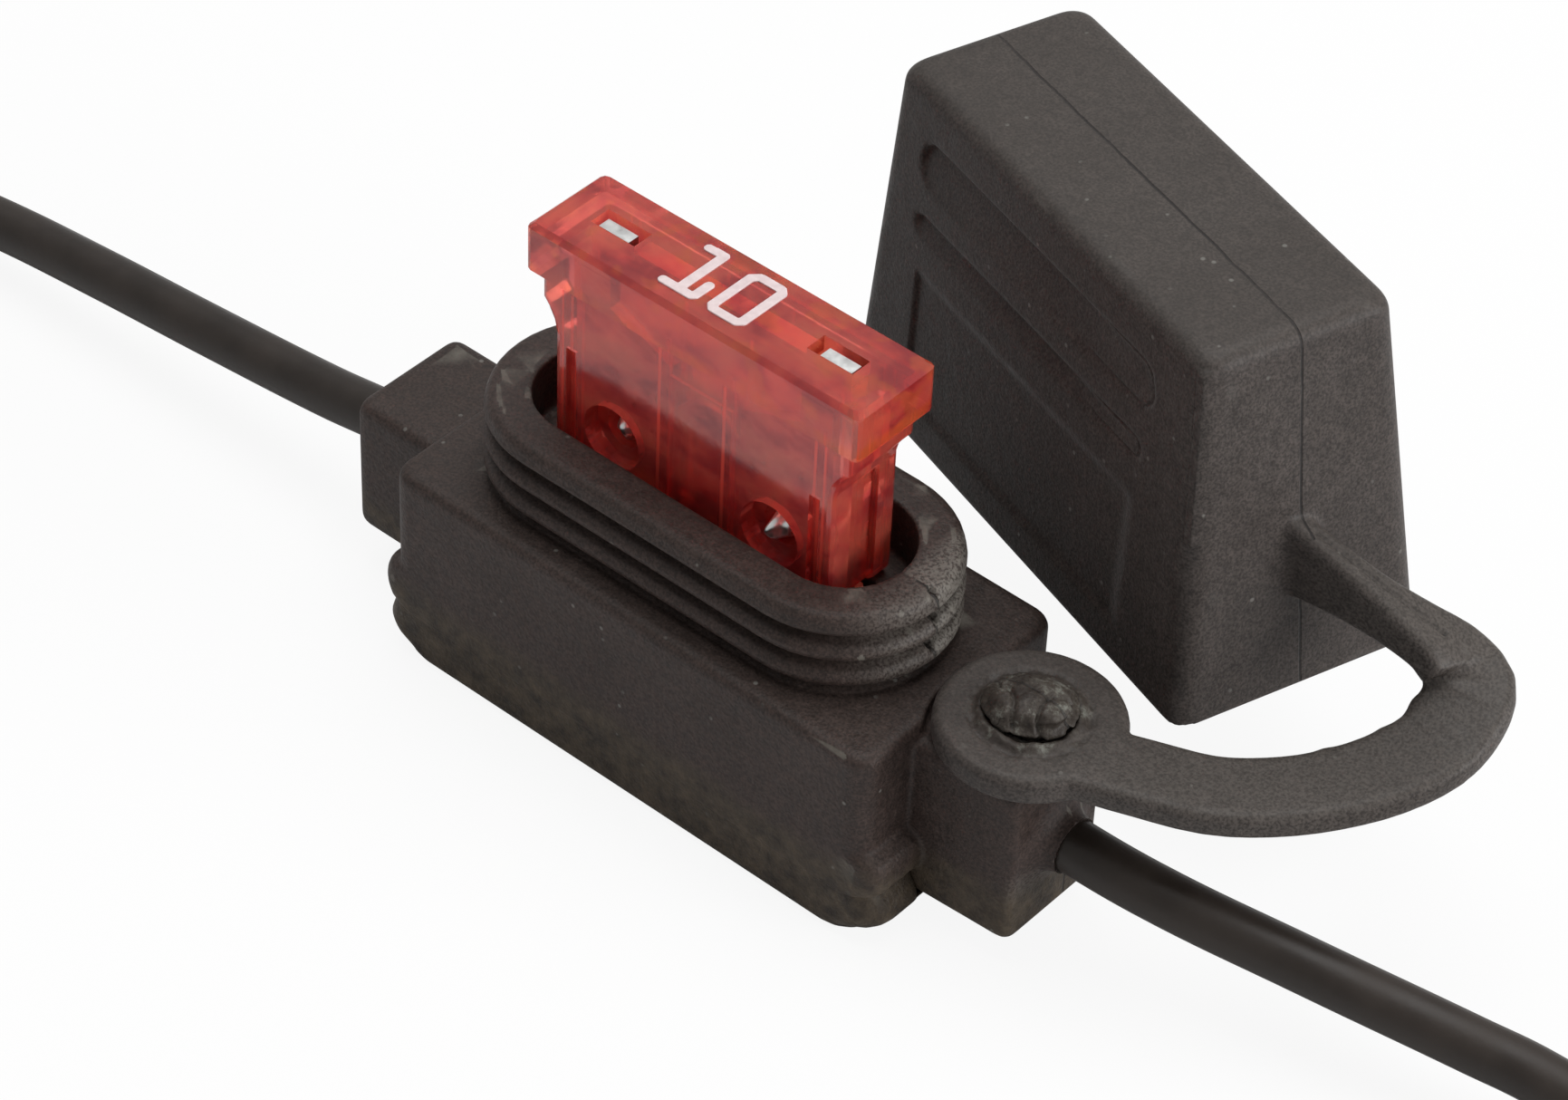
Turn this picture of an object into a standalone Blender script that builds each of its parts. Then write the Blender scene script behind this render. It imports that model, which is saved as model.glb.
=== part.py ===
"""Inline blade-fuse holder with a tethered cap, its fuse in place and the cap swung aside.

Frame: origin at the centre of the holder's underside, +X along the leads towards
the cap's tether, +Y across, +Z up. Units are metres.
"""

import math

import bmesh
import bpy
from mathutils import Matrix, Vector

# Clearances
GAP = 0.0003
RUNNING = 0.0002

# How far a cutter reaches past what it opens, and a joined form into what it joins
OVERCUT = 0.0010
OVERLAP = 0.0005

# Block of the holder: the rubber moulding that everything sits in
BLOCK_LENGTH = 0.0284
BLOCK_WIDTH = 0.0132
BLOCK_TOP = 0.0111
BLOCK_CORNER = 0.0010
BLOCK_EDGE = 0.0005
END_BEAD = 0.0009
UPPER_BEAD_TOP = 0.0054

# Cover that closes the block from below
COVER_HEIGHT = 0.0026
COVER_CORNER = 0.0019
COVER_EDGE = 0.0006

# Ribbed collar that the cap pushes over
COLLAR_LENGTH = 0.0250
COLLAR_WIDTH = 0.0108
COLLAR_TOP = 0.0158
COLLAR_WALL = 0.00215
RIB_DEPTH = 0.0005
RIB_PITCH = 0.00147
LIP_HEIGHT = 0.0007
LIP_EDGE = 0.0005

# Boots that grip the leads at both ends of the block
LEFT_BOOT_LENGTH = 0.0054
RIGHT_BOOT_LENGTH = 0.0056
BOOT_HALF_WIDTH = 0.0034
RIGHT_BOOT_TIP_HALF_WIDTH = 0.0031
LEFT_BOOT_BOTTOM = 0.0023
RIGHT_BOOT_BOTTOM = 0.0014
LEFT_BOOT_TOP = 0.0099
BOOT_CORNER = 0.0006
BOOT_ROOT = 0.0010
LEAD_COLLAR_WALL = 0.0007
LEAD_COLLAR_LENGTH = 0.0010

# Leads and what they end in
LEAD_DIAMETER = 0.00255
LEAD_HEIGHT = 0.0061
CORE_DIAMETER = 0.0017
BARE_AT_CRIMP = 0.00045
TURNS_MEAN_RADIUS = 0.0128
COIL_TURNS = 2
COIL_SLACK = 0.0001
TIE_THICKNESS = 0.0004
TIE_WIDTH = 0.0025
BARE_END_LENGTH = 0.0050
LEFT_COIL_CENTRE = (-0.08198, 0.00864)
RIGHT_COIL_CENTRE = (0.06867, 0.01019)
LEFT_TIE_ANGLE = 140.0
RIGHT_TIE_ANGLE = 50.0
LEFT_BARE_END_ANGLE = 33.4
RIGHT_BARE_END_ANGLE = -142.4
TIE_LOCK_LENGTH = 0.0012
TIE_LOCK_HALF_HEIGHT = 0.0008
TIE_LOCK_RIM = 0.0001

# Staked post and the eye of the tether round it
POST_X = 0.0179
POST_RADIUS = 0.0012
STAKE_RADIUS = 0.00175
STAKE_HEIGHT = 0.0011
STAKE_EDGE = 0.0001
EYE_RADIUS = 0.0043
EYE_THICKNESS = 0.0015
EYE_TOP = 0.0122
EYE_RING_RADIUS = 0.0025
EYE_RING_WALL = 0.0005
EYE_RING_HEIGHT = 0.00035
EYE_EDGE = 0.0003
EYE_SEAT_SINK = 0.0001

# Cap, in its own frame: mouth at z = 0, roof up
CAP_MOUTH_LENGTH = 0.02864
CAP_MOUTH_WIDTH = 0.01297
CAP_TOP_LENGTH = 0.02525
CAP_TOP_WIDTH = 0.00960
CAP_HEIGHT = 0.01859
CAP_WALL = 0.0010
CAP_CORNER = 0.0010
CAP_TOP_EDGE = 0.0008
CAP_CENTRE = (0.01063, 0.01616, 0.0096)
CAP_YAW = -19.8
CAP_PITCH = -2.26
CAP_ROLL = 1.75
CAP_HOLLOW_EDGE = 0.0006

# Finger recesses in the cap's broad face: ends along X, foot and top in height, depth at the top
UPPER_RECESS = (-0.0100, 0.0094, 0.0136, 0.0161, 0.00045)
LOWER_RECESS = (-0.0100, 0.0090, 0.0110, 0.0121, 0.00035)
RECESS_FOOT_DEPTH = 0.00006

# Blade fuse
FUSE_HEAD_LENGTH = 0.0191
FUSE_HEAD_WIDTH = 0.0051
FUSE_HEAD_HEIGHT = 0.0028
FUSE_BODY_LENGTH = 0.0162
FUSE_BODY_WIDTH = 0.0044
FUSE_BODY_HEIGHT = 0.00965
FUSE_SHOULDER_LENGTH = 0.0178
FUSE_SHOULDER_DROP = 0.0012
FUSE_SHOULDER_BEND = 0.0016
FUSE_CORNER = 0.0003
FUSE_HEAD_EDGE = 0.00025
FUSE_ROOF = 0.0008
FUSE_FLOOR = 0.0131
BLADE_WIDTH = 0.0052
BLADE_THICKNESS = 0.00065
BLADE_SPAN = 0.0145
BLADE_DEPTH = 0.00605
LINK_THICKNESS = 0.0003
BLADE_CHAMFER = 0.0008
PAD_LENGTH = 0.00175
PAD_SINK = 0.00025
PAD_DROP = 0.0030
LINK_FOOT = 0.0030
LINK_RISE = 0.0034
LINK_BAND = 0.0008
WELL_RADIUS = 0.00165
WELL_BORE = 0.00105
WELL_DEPTH = 0.0009
WELL_HEIGHT = 0.0027
WINDOW_LENGTH = 0.0025
WINDOW_DEPTH = 0.0015
WINDOW_SIDE = 0.00005
CHAMBER_HALF_LENGTH = 0.0018
CHAMBER_HALF_WIDTH = 0.00085
CHAMBER_HEIGHT = 0.0076
END_GROOVE_HALF_WIDTH = 0.0009
END_GROOVE_DEPTH = 0.0004
FACE_GROOVE_MIDDLE = 0.0071
FACE_GROOVE_HALF_WIDTH = 0.0003
FACE_GROOVE_DEPTH = 0.0003

# Flag terminals that take the blades
TERMINAL_SHEET = 0.0004
TERMINAL_LIP_GAP = 0.0012
CRIMP_LENGTH = 0.0036
TERMINAL_CHAMFER = 0.0003

# Worked out from the sizes above
HALF_LENGTH = BLOCK_LENGTH / 2
HALF_WIDTH = BLOCK_WIDTH / 2
SEAM_BOTTOM = COVER_HEIGHT + GAP / 2
POCKET_FLOOR = FUSE_FLOOR - GAP
POCKET_HALF_LENGTH = COLLAR_LENGTH / 2 - COLLAR_WALL
POCKET_HALF_WIDTH = COLLAR_WIDTH / 2 - COLLAR_WALL
LEAD_RADIUS = LEAD_DIAMETER / 2
CORE_RADIUS = CORE_DIAMETER / 2
EYE_BOTTOM = EYE_TOP - EYE_THICKNESS
RIGHT_BOOT_TOP = EYE_BOTTOM - GAP
LEFT_EXIT = -HALF_LENGTH - LEFT_BOOT_LENGTH
RIGHT_EXIT = HALF_LENGTH + RIGHT_BOOT_LENGTH
BLADE_CENTRE = (BLADE_SPAN - BLADE_WIDTH) / 2
TERMINAL_BORE = BLADE_WIDTH / 2 + RUNNING
TERMINAL_HALF = TERMINAL_BORE + TERMINAL_SHEET
TERMINAL_SLOT = BLADE_THICKNESS / 2 + RUNNING
TERMINAL_HALF_DEPTH = TERMINAL_SLOT + TERMINAL_SHEET
TERMINAL_TOP = POCKET_FLOOR - GAP / 2
CRIMP_BORE = CORE_RADIUS + RUNNING
CRIMP_RADIUS = CRIMP_BORE + TERMINAL_SHEET
CRIMP_START = BLADE_CENTRE + TERMINAL_BORE + TERMINAL_SHEET / 2
CRIMP_END = CRIMP_START + CRIMP_LENGTH
TERMINAL_BOTTOM = LEAD_HEIGHT - CRIMP_RADIUS
CHAMBER_HALF_DEPTH = CRIMP_RADIUS + GAP
LEAD_START = CRIMP_END + GAP + BARE_AT_CRIMP
COIL_HALF_WIDTH = COIL_TURNS * LEAD_DIAMETER / 2 + COIL_SLACK
COIL_BOTTOM = TIE_THICKNESS + GAP
COIL_TOP = COIL_BOTTOM + LEAD_DIAMETER
COIL_MID = (COIL_BOTTOM + COIL_TOP) / 2

# Facets of the round forms
ARC_STEPS = 4
RACETRACK_STEPS = 11
ROUND_STEPS = 24
SEAT_STEPS = 40
EYE_STEPS = 36
COIL_STEPS = 36
LINK_STEPS = 12

TETHER_EDGE = 0.0003

# Top face of the tether from the cap to the eye: x, y, z, width, depth
TETHER = (
    (0.02240, 0.01130, 0.01930, 0.0014, 0.0046),
    (0.02370, 0.01150, 0.01880, 0.0014, 0.0040),
    (0.02660, 0.01200, 0.01755, 0.0017, 0.0027),
    (0.02870, 0.01255, 0.01650, 0.0025, 0.0019),
    (0.03045, 0.01300, 0.01555, 0.0034, 0.0015),
    (0.03170, 0.01270, 0.01468, 0.0039, 0.0014),
    (0.03215, 0.01130, 0.01388, 0.0040, 0.0014),
    (0.03200, 0.00950, 0.01322, 0.0041, 0.0014),
    (0.03110, 0.00740, 0.01272, 0.0041, 0.0014),
    (0.02975, 0.00530, 0.01242, 0.0040, 0.0014),
    (0.02812, 0.00347, 0.01226, 0.0040, 0.0014),
    (0.02613, 0.00189, 0.01220, 0.0040, 0.0014),
    (0.02346, 0.00077, 0.01219, 0.0040, 0.0014),
    (0.02040, -0.00045, 0.01217, 0.0040, 0.0013),
)

# Routes of the leads' straight stretches, from inside the boot outwards
LEFT_ROUTE = (
    (-0.0250, 0.0000, 0.0053),
    (-0.0330, 0.0000, 0.0044),
    (-0.0410, 0.0000, 0.0036),
    (-0.0480, -0.00015, 0.0029),
    (-0.0555, -0.0010, 0.0024),
    (-0.0630, -0.00235, 0.0021),
    (-0.0705, -0.0037, 0.001975),
)
RIGHT_ROUTE = (
    (0.0245, 0.0005, 0.0057),
    (0.0320, 0.0022, 0.0049),
    (0.0395, 0.0041, 0.0040),
    (0.0425, 0.00485, 0.0036),
    (0.0455, 0.0052, 0.0031),
    (0.04845, 0.0048, 0.00265),
    (0.0512, 0.0037, 0.00225),
    (0.0538, 0.00225, 0.001975),
)


def clear_scene():
    for thing in list(bpy.data.objects):
        bpy.data.objects.remove(thing, do_unlink=True)


def material(name, colour, roughness, metallic=0.0):
    made = bpy.data.materials.new(name)
    made.use_nodes = True
    shader = made.node_tree.nodes["Principled BSDF"]
    shader.inputs["Base Color"].default_value = (*colour, 1.0)
    shader.inputs["Roughness"].default_value = roughness
    shader.inputs["Metallic"].default_value = metallic
    return made


def make_object(name, shape, finish=None):
    """Turns a bmesh into an object with outward faces."""
    bmesh.ops.remove_doubles(shape, verts=shape.verts, dist=1e-7)
    bmesh.ops.recalc_face_normals(shape, faces=shape.faces)
    mesh = bpy.data.meshes.new(name)
    shape.to_mesh(mesh)
    shape.free()
    mesh.shade_smooth()
    mesh.set_sharp_from_angle(angle=math.radians(35))
    if finish:
        mesh.materials.append(finish)
    made = bpy.data.objects.new(name, mesh)
    bpy.context.scene.collection.objects.link(made)
    return made


def combine(target, tool, operation):
    """Joins or cuts the target with a helper that stays out of the result."""
    tool.hide_render = True
    tool.display_type = "WIRE"
    step = target.modifiers.new(tool.name, "BOOLEAN")
    step.operation = operation
    step.solver = "EXACT"
    step.object = tool


def join(target, tool):
    combine(target, tool, "UNION")


def cut(target, tool):
    combine(target, tool, "DIFFERENCE")


def set_origin(thing, place):
    """Moves an object's origin without moving its shape."""
    thing.data.transform(Matrix.Translation(-Vector(place)))
    thing.location = place


def rounded_outline(half_x, half_y, radius, steps=ARC_STEPS):
    """Corner-rounded rectangle in the plane, counter-clockwise."""
    points = []
    for quarter in range(4):
        side_x = 1 if quarter in (0, 3) else -1
        side_y = 1 if quarter in (0, 1) else -1
        for step in range(steps + 1):
            angle = math.pi / 2 * (quarter + step / steps)
            x = side_x * (half_x - radius) + radius * math.cos(angle)
            y = side_y * (half_y - radius) + radius * math.sin(angle)
            if not points or math.dist(points[-1], (x, y)) > 1e-7:
                points.append((x, y))
    if math.dist(points[0], points[-1]) < 1e-7:
        points.pop()
    return points


def racetrack(half_length, half_width):
    """Straight sides closed by half circles."""
    return rounded_outline(half_length, half_width, half_width, steps=RACETRACK_STEPS)


def loft(rings):
    """Closed solid through rings that hold the same number of points."""
    shape = bmesh.new()
    rows = [[shape.verts.new(point) for point in ring] for ring in rings]
    for low, high in zip(rows, rows[1:]):
        for index, corner in enumerate(low):
            after = (index + 1) % len(low)
            shape.faces.new((corner, low[after], high[after], high[index]))
    shape.faces.new(rows[0])
    shape.faces.new(rows[-1])
    return shape


def stack(outlines):
    """Loft through (outline, height) pairs along +Z."""
    return loft([[(x, y, z) for x, y in outline] for outline, z in outlines])


def along_x(outlines):
    """Loft through (outline, x, centre height) triples along X."""
    return loft([[(x, y, up + z) for y, z in outline] for outline, x, up in outlines])


def box(name, low, high, finish=None):
    shape = bmesh.new()
    bmesh.ops.create_cube(shape, size=1.0)
    centre = (Vector(low) + Vector(high)) / 2
    size = Vector(high) - Vector(low)
    for corner in shape.verts:
        corner.co = centre + Vector(a * b for a, b in zip(corner.co, size))
    return make_object(name, shape, finish)


def turned(profile, centre, steps=ROUND_STEPS):
    """Solid of revolution about a vertical axis: (radius, height) pairs, the first and last on the axis."""
    shape = bmesh.new()
    rings = []
    for radius, height in profile:
        if radius < 1e-9:
            rings.append([shape.verts.new((centre[0], centre[1], height))])
            continue
        ring = []
        for step in range(steps):
            angle = 2 * math.pi * step / steps
            x = centre[0] + radius * math.cos(angle)
            y = centre[1] + radius * math.sin(angle)
            ring.append(shape.verts.new((x, y, height)))
        rings.append(ring)
    for low, high in zip(rings, rings[1:]):
        for step in range(steps):
            after = (step + 1) % steps
            corners = []
            for ring, place in ((low, step), (low, after), (high, after), (high, step)):
                corner = ring[place % len(ring)]
                if corner not in corners:
                    corners.append(corner)
            shape.faces.new(corners)
    return shape


def rod_x(name, radius, start, end, y, z, finish=None, steps=16):
    """Round bar along X."""
    circle = [(y + radius * math.cos(a), radius * math.sin(a))
              for a in (2 * math.pi * step / steps for step in range(steps))]
    return make_object(name, along_x([(circle, start, z), (circle, end, z)]), finish)


def edge_rings(half_x, half_y, corner, edge, height, steps=3):
    """Outlines of a rounded top edge, from its foot to the flat."""
    rings = []
    for step in range(steps + 1):
        angle = math.pi / 2 * step / steps
        inset = edge * (1 - math.cos(angle))
        outline = rounded_outline(half_x - inset, half_y - inset, corner)
        rings.append((outline, height - edge + edge * math.sin(angle)))
    return rings


def bead_rings(bottom, top, corner, steps=6):
    """Outlines of a bead that bulges over both end faces between two heights."""
    rings = []
    for step in range(steps + 1):
        share = step / steps
        bulge = END_BEAD * math.sqrt(max(0.0, 1 - (2 * share - 1) ** 2))
        outline = rounded_outline(HALF_LENGTH + bulge, HALF_WIDTH, corner)
        rings.append((outline, bottom + share * (top - bottom)))
    return rings


def block():
    rings = bead_rings(SEAM_BOTTOM, UPPER_BEAD_TOP, BLOCK_CORNER)
    rings += edge_rings(HALF_LENGTH, HALF_WIDTH, BLOCK_CORNER, BLOCK_EDGE, BLOCK_TOP)
    return stack(rings)


def collar_profile():
    """(inset, height) pairs of the collar's ribbed outside, from inside the block to the rim."""
    lip = COLLAR_TOP - LIP_HEIGHT
    pairs = [(RIB_DEPTH, BLOCK_TOP - BLOCK_EDGE)]
    for rib in (2, 1):
        middle = lip - rib * RIB_PITCH
        pairs.append((RIB_DEPTH, middle - 0.46 * RIB_PITCH))
        pairs.append((RIB_DEPTH * 0.25, middle - 0.26 * RIB_PITCH))
        pairs.append((0.0, middle))
        pairs.append((RIB_DEPTH * 0.25, middle + 0.26 * RIB_PITCH))
        pairs.append((RIB_DEPTH, middle + 0.42 * RIB_PITCH))
    pairs += [(RIB_DEPTH, lip - 0.46 * RIB_PITCH), (RIB_DEPTH * 0.25, lip - 0.26 * RIB_PITCH)]
    for step in range(4):
        angle = math.pi / 2 * step / 3
        pairs.append((LIP_EDGE * (1 - math.cos(angle)), lip + LIP_HEIGHT * math.sin(angle)))
    return pairs


def collar():
    rings = []
    for inset, height in collar_profile():
        outline = racetrack(COLLAR_LENGTH / 2 - inset, COLLAR_WIDTH / 2 - inset)
        rings.append((outline, height))
    return stack(rings)


def boot(side, length, bottom, top, tip_half_width):
    """Rounded block that tapers outwards along X and grips one lead."""
    middle = (top + bottom) / 2
    half_height = (top - bottom) / 2
    sections = [(-BOOT_ROOT, BOOT_HALF_WIDTH, 0.0), (length - BOOT_CORNER, tip_half_width, 0.0)]
    for step in (1, 2, 3):
        angle = math.pi / 2 * step / 3
        inset = BOOT_CORNER * 0.5 * (1 - math.cos(angle))
        reach = length - BOOT_CORNER * (1 - math.sin(angle))
        sections.append((reach, tip_half_width, inset))
    rings = []
    for reach, half_width, inset in sections:
        outline = rounded_outline(half_width - inset, half_height - inset, BOOT_CORNER)
        rings.append((outline, side * (HALF_LENGTH + reach), middle))
    return along_x(rings)


def post():
    """Post on the right boot, its tip melted over into a low rough head."""
    foot = RIGHT_BOOT_TOP - BOOT_CORNER
    neck = EYE_TOP + GAP
    profile = [
        (0.0, foot),
        (POST_RADIUS, foot),
        (POST_RADIUS, neck),
        (STAKE_RADIUS, neck + STAKE_EDGE),
        (STAKE_RADIUS * 0.97, neck + STAKE_HEIGHT * 0.45),
        (STAKE_RADIUS * 0.74, neck + STAKE_HEIGHT * 0.85),
        (STAKE_RADIUS * 0.35, neck + STAKE_HEIGHT),
        (0.0, neck + STAKE_HEIGHT),
    ]
    return turned(profile, (POST_X, 0.0))


def terminal_slot_cutter(side):
    """Room round one receptacle, from the pocket's floor down through the underside."""
    half = TERMINAL_HALF + GAP
    depth = TERMINAL_HALF_DEPTH + GAP
    xs = sorted((side * (BLADE_CENTRE - half), side * (BLADE_CENTRE + half)))
    low = (xs[0], -depth, COVER_HEIGHT - OVERCUT)
    return box(f"slot_cutter_{side}", low, (xs[1], depth, POCKET_FLOOR + OVERCUT))


def crimp_channel_cutter(side):
    """Vaulted channel along X that the crimp drops into from below."""
    half = CHAMBER_HALF_DEPTH
    foot = COVER_HEIGHT - OVERCUT - GAP
    outline = [(-half, foot), (half, foot)]
    for step in range(9):
        angle = math.pi * step / 8
        outline.append((half * math.cos(angle), LEAD_HEIGHT + half * math.sin(angle)))
    ends = sorted((side * BLADE_CENTRE, side * (CRIMP_END + GAP)))
    return make_object(f"channel_cutter_{side}", along_x([(outline, ends[0], 0.0), (outline, ends[1], 0.0)]))


def holder_body(rubber):
    body = make_object("holder_body", block(), rubber)
    seat_floor = RIGHT_BOOT_TOP - EYE_SEAT_SINK
    seat_top = BLOCK_TOP + OVERCUT
    seat_radius = EYE_RADIUS + GAP
    seat = [(0.0, seat_floor), (seat_radius, seat_floor), (seat_radius, seat_top), (0.0, seat_top)]
    cut(body, make_object("eye_seat_cutter", turned(seat, (POST_X, 0.0), SEAT_STEPS)))
    join(body, make_object("collar_form", collar()))
    left = boot(-1, LEFT_BOOT_LENGTH, LEFT_BOOT_BOTTOM, LEFT_BOOT_TOP, BOOT_HALF_WIDTH)
    join(body, make_object("left_boot_form", left))
    right = boot(1, RIGHT_BOOT_LENGTH, RIGHT_BOOT_BOTTOM, RIGHT_BOOT_TOP, RIGHT_BOOT_TIP_HALF_WIDTH)
    join(body, make_object("right_boot_form", right))
    ring_radius = LEAD_RADIUS + GAP + LEAD_COLLAR_WALL
    ring_start = RIGHT_EXIT - OVERLAP
    ring_end = RIGHT_EXIT + LEAD_COLLAR_LENGTH
    ring = rod_x("lead_ring_form", ring_radius, ring_start, ring_end, 0.0, LEAD_HEIGHT, steps=ROUND_STEPS)
    join(body, ring)
    join(body, make_object("post_form", post()))
    pocket = racetrack(POCKET_HALF_LENGTH, POCKET_HALF_WIDTH)
    cut(body, make_object("pocket_cutter", stack([(pocket, POCKET_FLOOR), (pocket, COLLAR_TOP + OVERCUT)])))
    for side in (-1, 1):
        cut(body, terminal_slot_cutter(side))
        cut(body, crimp_channel_cutter(side))
        ends = sorted((side * CRIMP_START, side * (RIGHT_EXIT + LEAD_COLLAR_LENGTH + OVERCUT)))
        cut(body, rod_x(f"lead_cutter_{side}", LEAD_RADIUS + GAP, ends[0], ends[1], 0.0, LEAD_HEIGHT))
    return body


def base_cover(rubber):
    """Cover with a plinth under each terminal and a notch under each boot."""
    rings = []
    for step in range(4):
        angle = math.pi / 2 * (1 - step / 3)
        inset = COVER_EDGE * (1 - math.cos(angle))
        height = COVER_EDGE * (1 - math.sin(angle))
        outline = rounded_outline(HALF_LENGTH - inset, HALF_WIDTH - inset, COVER_CORNER)
        rings.append((outline, height))
    top = COVER_HEIGHT - GAP / 2
    for share in (0.25, 0.5, 0.75, 1.0):
        bulge = END_BEAD * math.sqrt(max(0.0, 1 - (2 * share - 1) ** 2))
        corner = COVER_CORNER + share * (BLOCK_CORNER - COVER_CORNER)
        outline = rounded_outline(HALF_LENGTH + bulge, HALF_WIDTH, corner)
        rings.append((outline, COVER_EDGE + share * (top - COVER_EDGE)))
    cover = make_object("base_cover", stack(rings), rubber)
    for side, boot_bottom in ((-1, LEFT_BOOT_BOTTOM), (1, RIGHT_BOOT_BOTTOM)):
        reach = HALF_LENGTH + END_BEAD + OVERCUT
        xs = sorted((side * (HALF_LENGTH - BOOT_ROOT - GAP), side * reach))
        half = BOOT_HALF_WIDTH + GAP
        notch_top = COVER_HEIGHT + OVERCUT
        cut(cover, box(f"notch_cutter_{side}", (xs[0], -half, boot_bottom - GAP), (xs[1], half, notch_top)))
        xs = sorted((side * (BLADE_CENTRE + GAP), side * CRIMP_END))
        half = CHAMBER_HALF_DEPTH - GAP
        plinth_top = TERMINAL_BOTTOM - GAP
        join(cover, box(f"plinth_form_{side}", (xs[0], -half, top - OVERLAP), (xs[1], half, plinth_top)))
    return cover


def receptacle_outline():
    """Folded sheet seen from above: a flat back with both edges rolled round to a slit."""
    outer_x = TERMINAL_HALF
    outer_y = TERMINAL_HALF_DEPTH
    inner_x = TERMINAL_BORE
    inner_y = TERMINAL_SLOT
    slit = TERMINAL_LIP_GAP / 2
    chamfer = TERMINAL_CHAMFER
    return (
        (slit, outer_y), (-outer_x + chamfer, outer_y), (-outer_x, outer_y - chamfer),
        (-outer_x, -outer_y), (outer_x, -outer_y),
        (outer_x, outer_y - chamfer), (outer_x - chamfer, outer_y), (slit * 3, outer_y),
        (slit * 3, inner_y), (inner_x, inner_y), (inner_x, -inner_y), (-inner_x, -inner_y),
        (-inner_x, inner_y), (slit, inner_y),
    )


def terminal(name, side, brass):
    """Flag terminal: a rolled receptacle for the blade and a crimp barrel for the lead's core."""
    outline = [(side * (BLADE_CENTRE + x), y) for x, y in receptacle_outline()]
    shape = stack([(outline, TERMINAL_BOTTOM), (outline, TERMINAL_TOP)])
    made = make_object(name, shape, brass)
    ends = sorted((side * CRIMP_START, side * CRIMP_END))
    join(made, rod_x(f"{name}_barrel_form", CRIMP_RADIUS, ends[0], ends[1], 0.0, LEAD_HEIGHT))
    bore_start = CRIMP_START + TERMINAL_SHEET / 2 + RUNNING
    ends = sorted((side * bore_start, side * (CRIMP_END + OVERCUT)))
    cut(made, rod_x(f"{name}_bore_cutter", CRIMP_BORE, ends[0], ends[1], 0.0, LEAD_HEIGHT))
    ends = sorted((side * (CRIMP_START + TERMINAL_SHEET), side * (CRIMP_END + OVERCUT)))
    seam_top = LEAD_HEIGHT + CRIMP_RADIUS + OVERCUT
    seam = box(f"{name}_seam_cutter", (ends[0], -RUNNING / 2, LEAD_HEIGHT), (ends[1], RUNNING / 2, seam_top))
    cut(made, seam)
    return made


def conductor(name, side, copper):
    """Stripped end of the lead's core, inside its crimp."""
    start = CRIMP_START + TERMINAL_SHEET / 2 + RUNNING + GAP
    ends = sorted((side * start, side * (LEAD_START - GAP)))
    return rod_x(name, CORE_RADIUS, ends[0], ends[1], 0.0, LEAD_HEIGHT, copper, steps=12)


def fuse_outline(half_x, half_y):
    return rounded_outline(half_x, half_y, FUSE_CORNER, 2)


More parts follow.
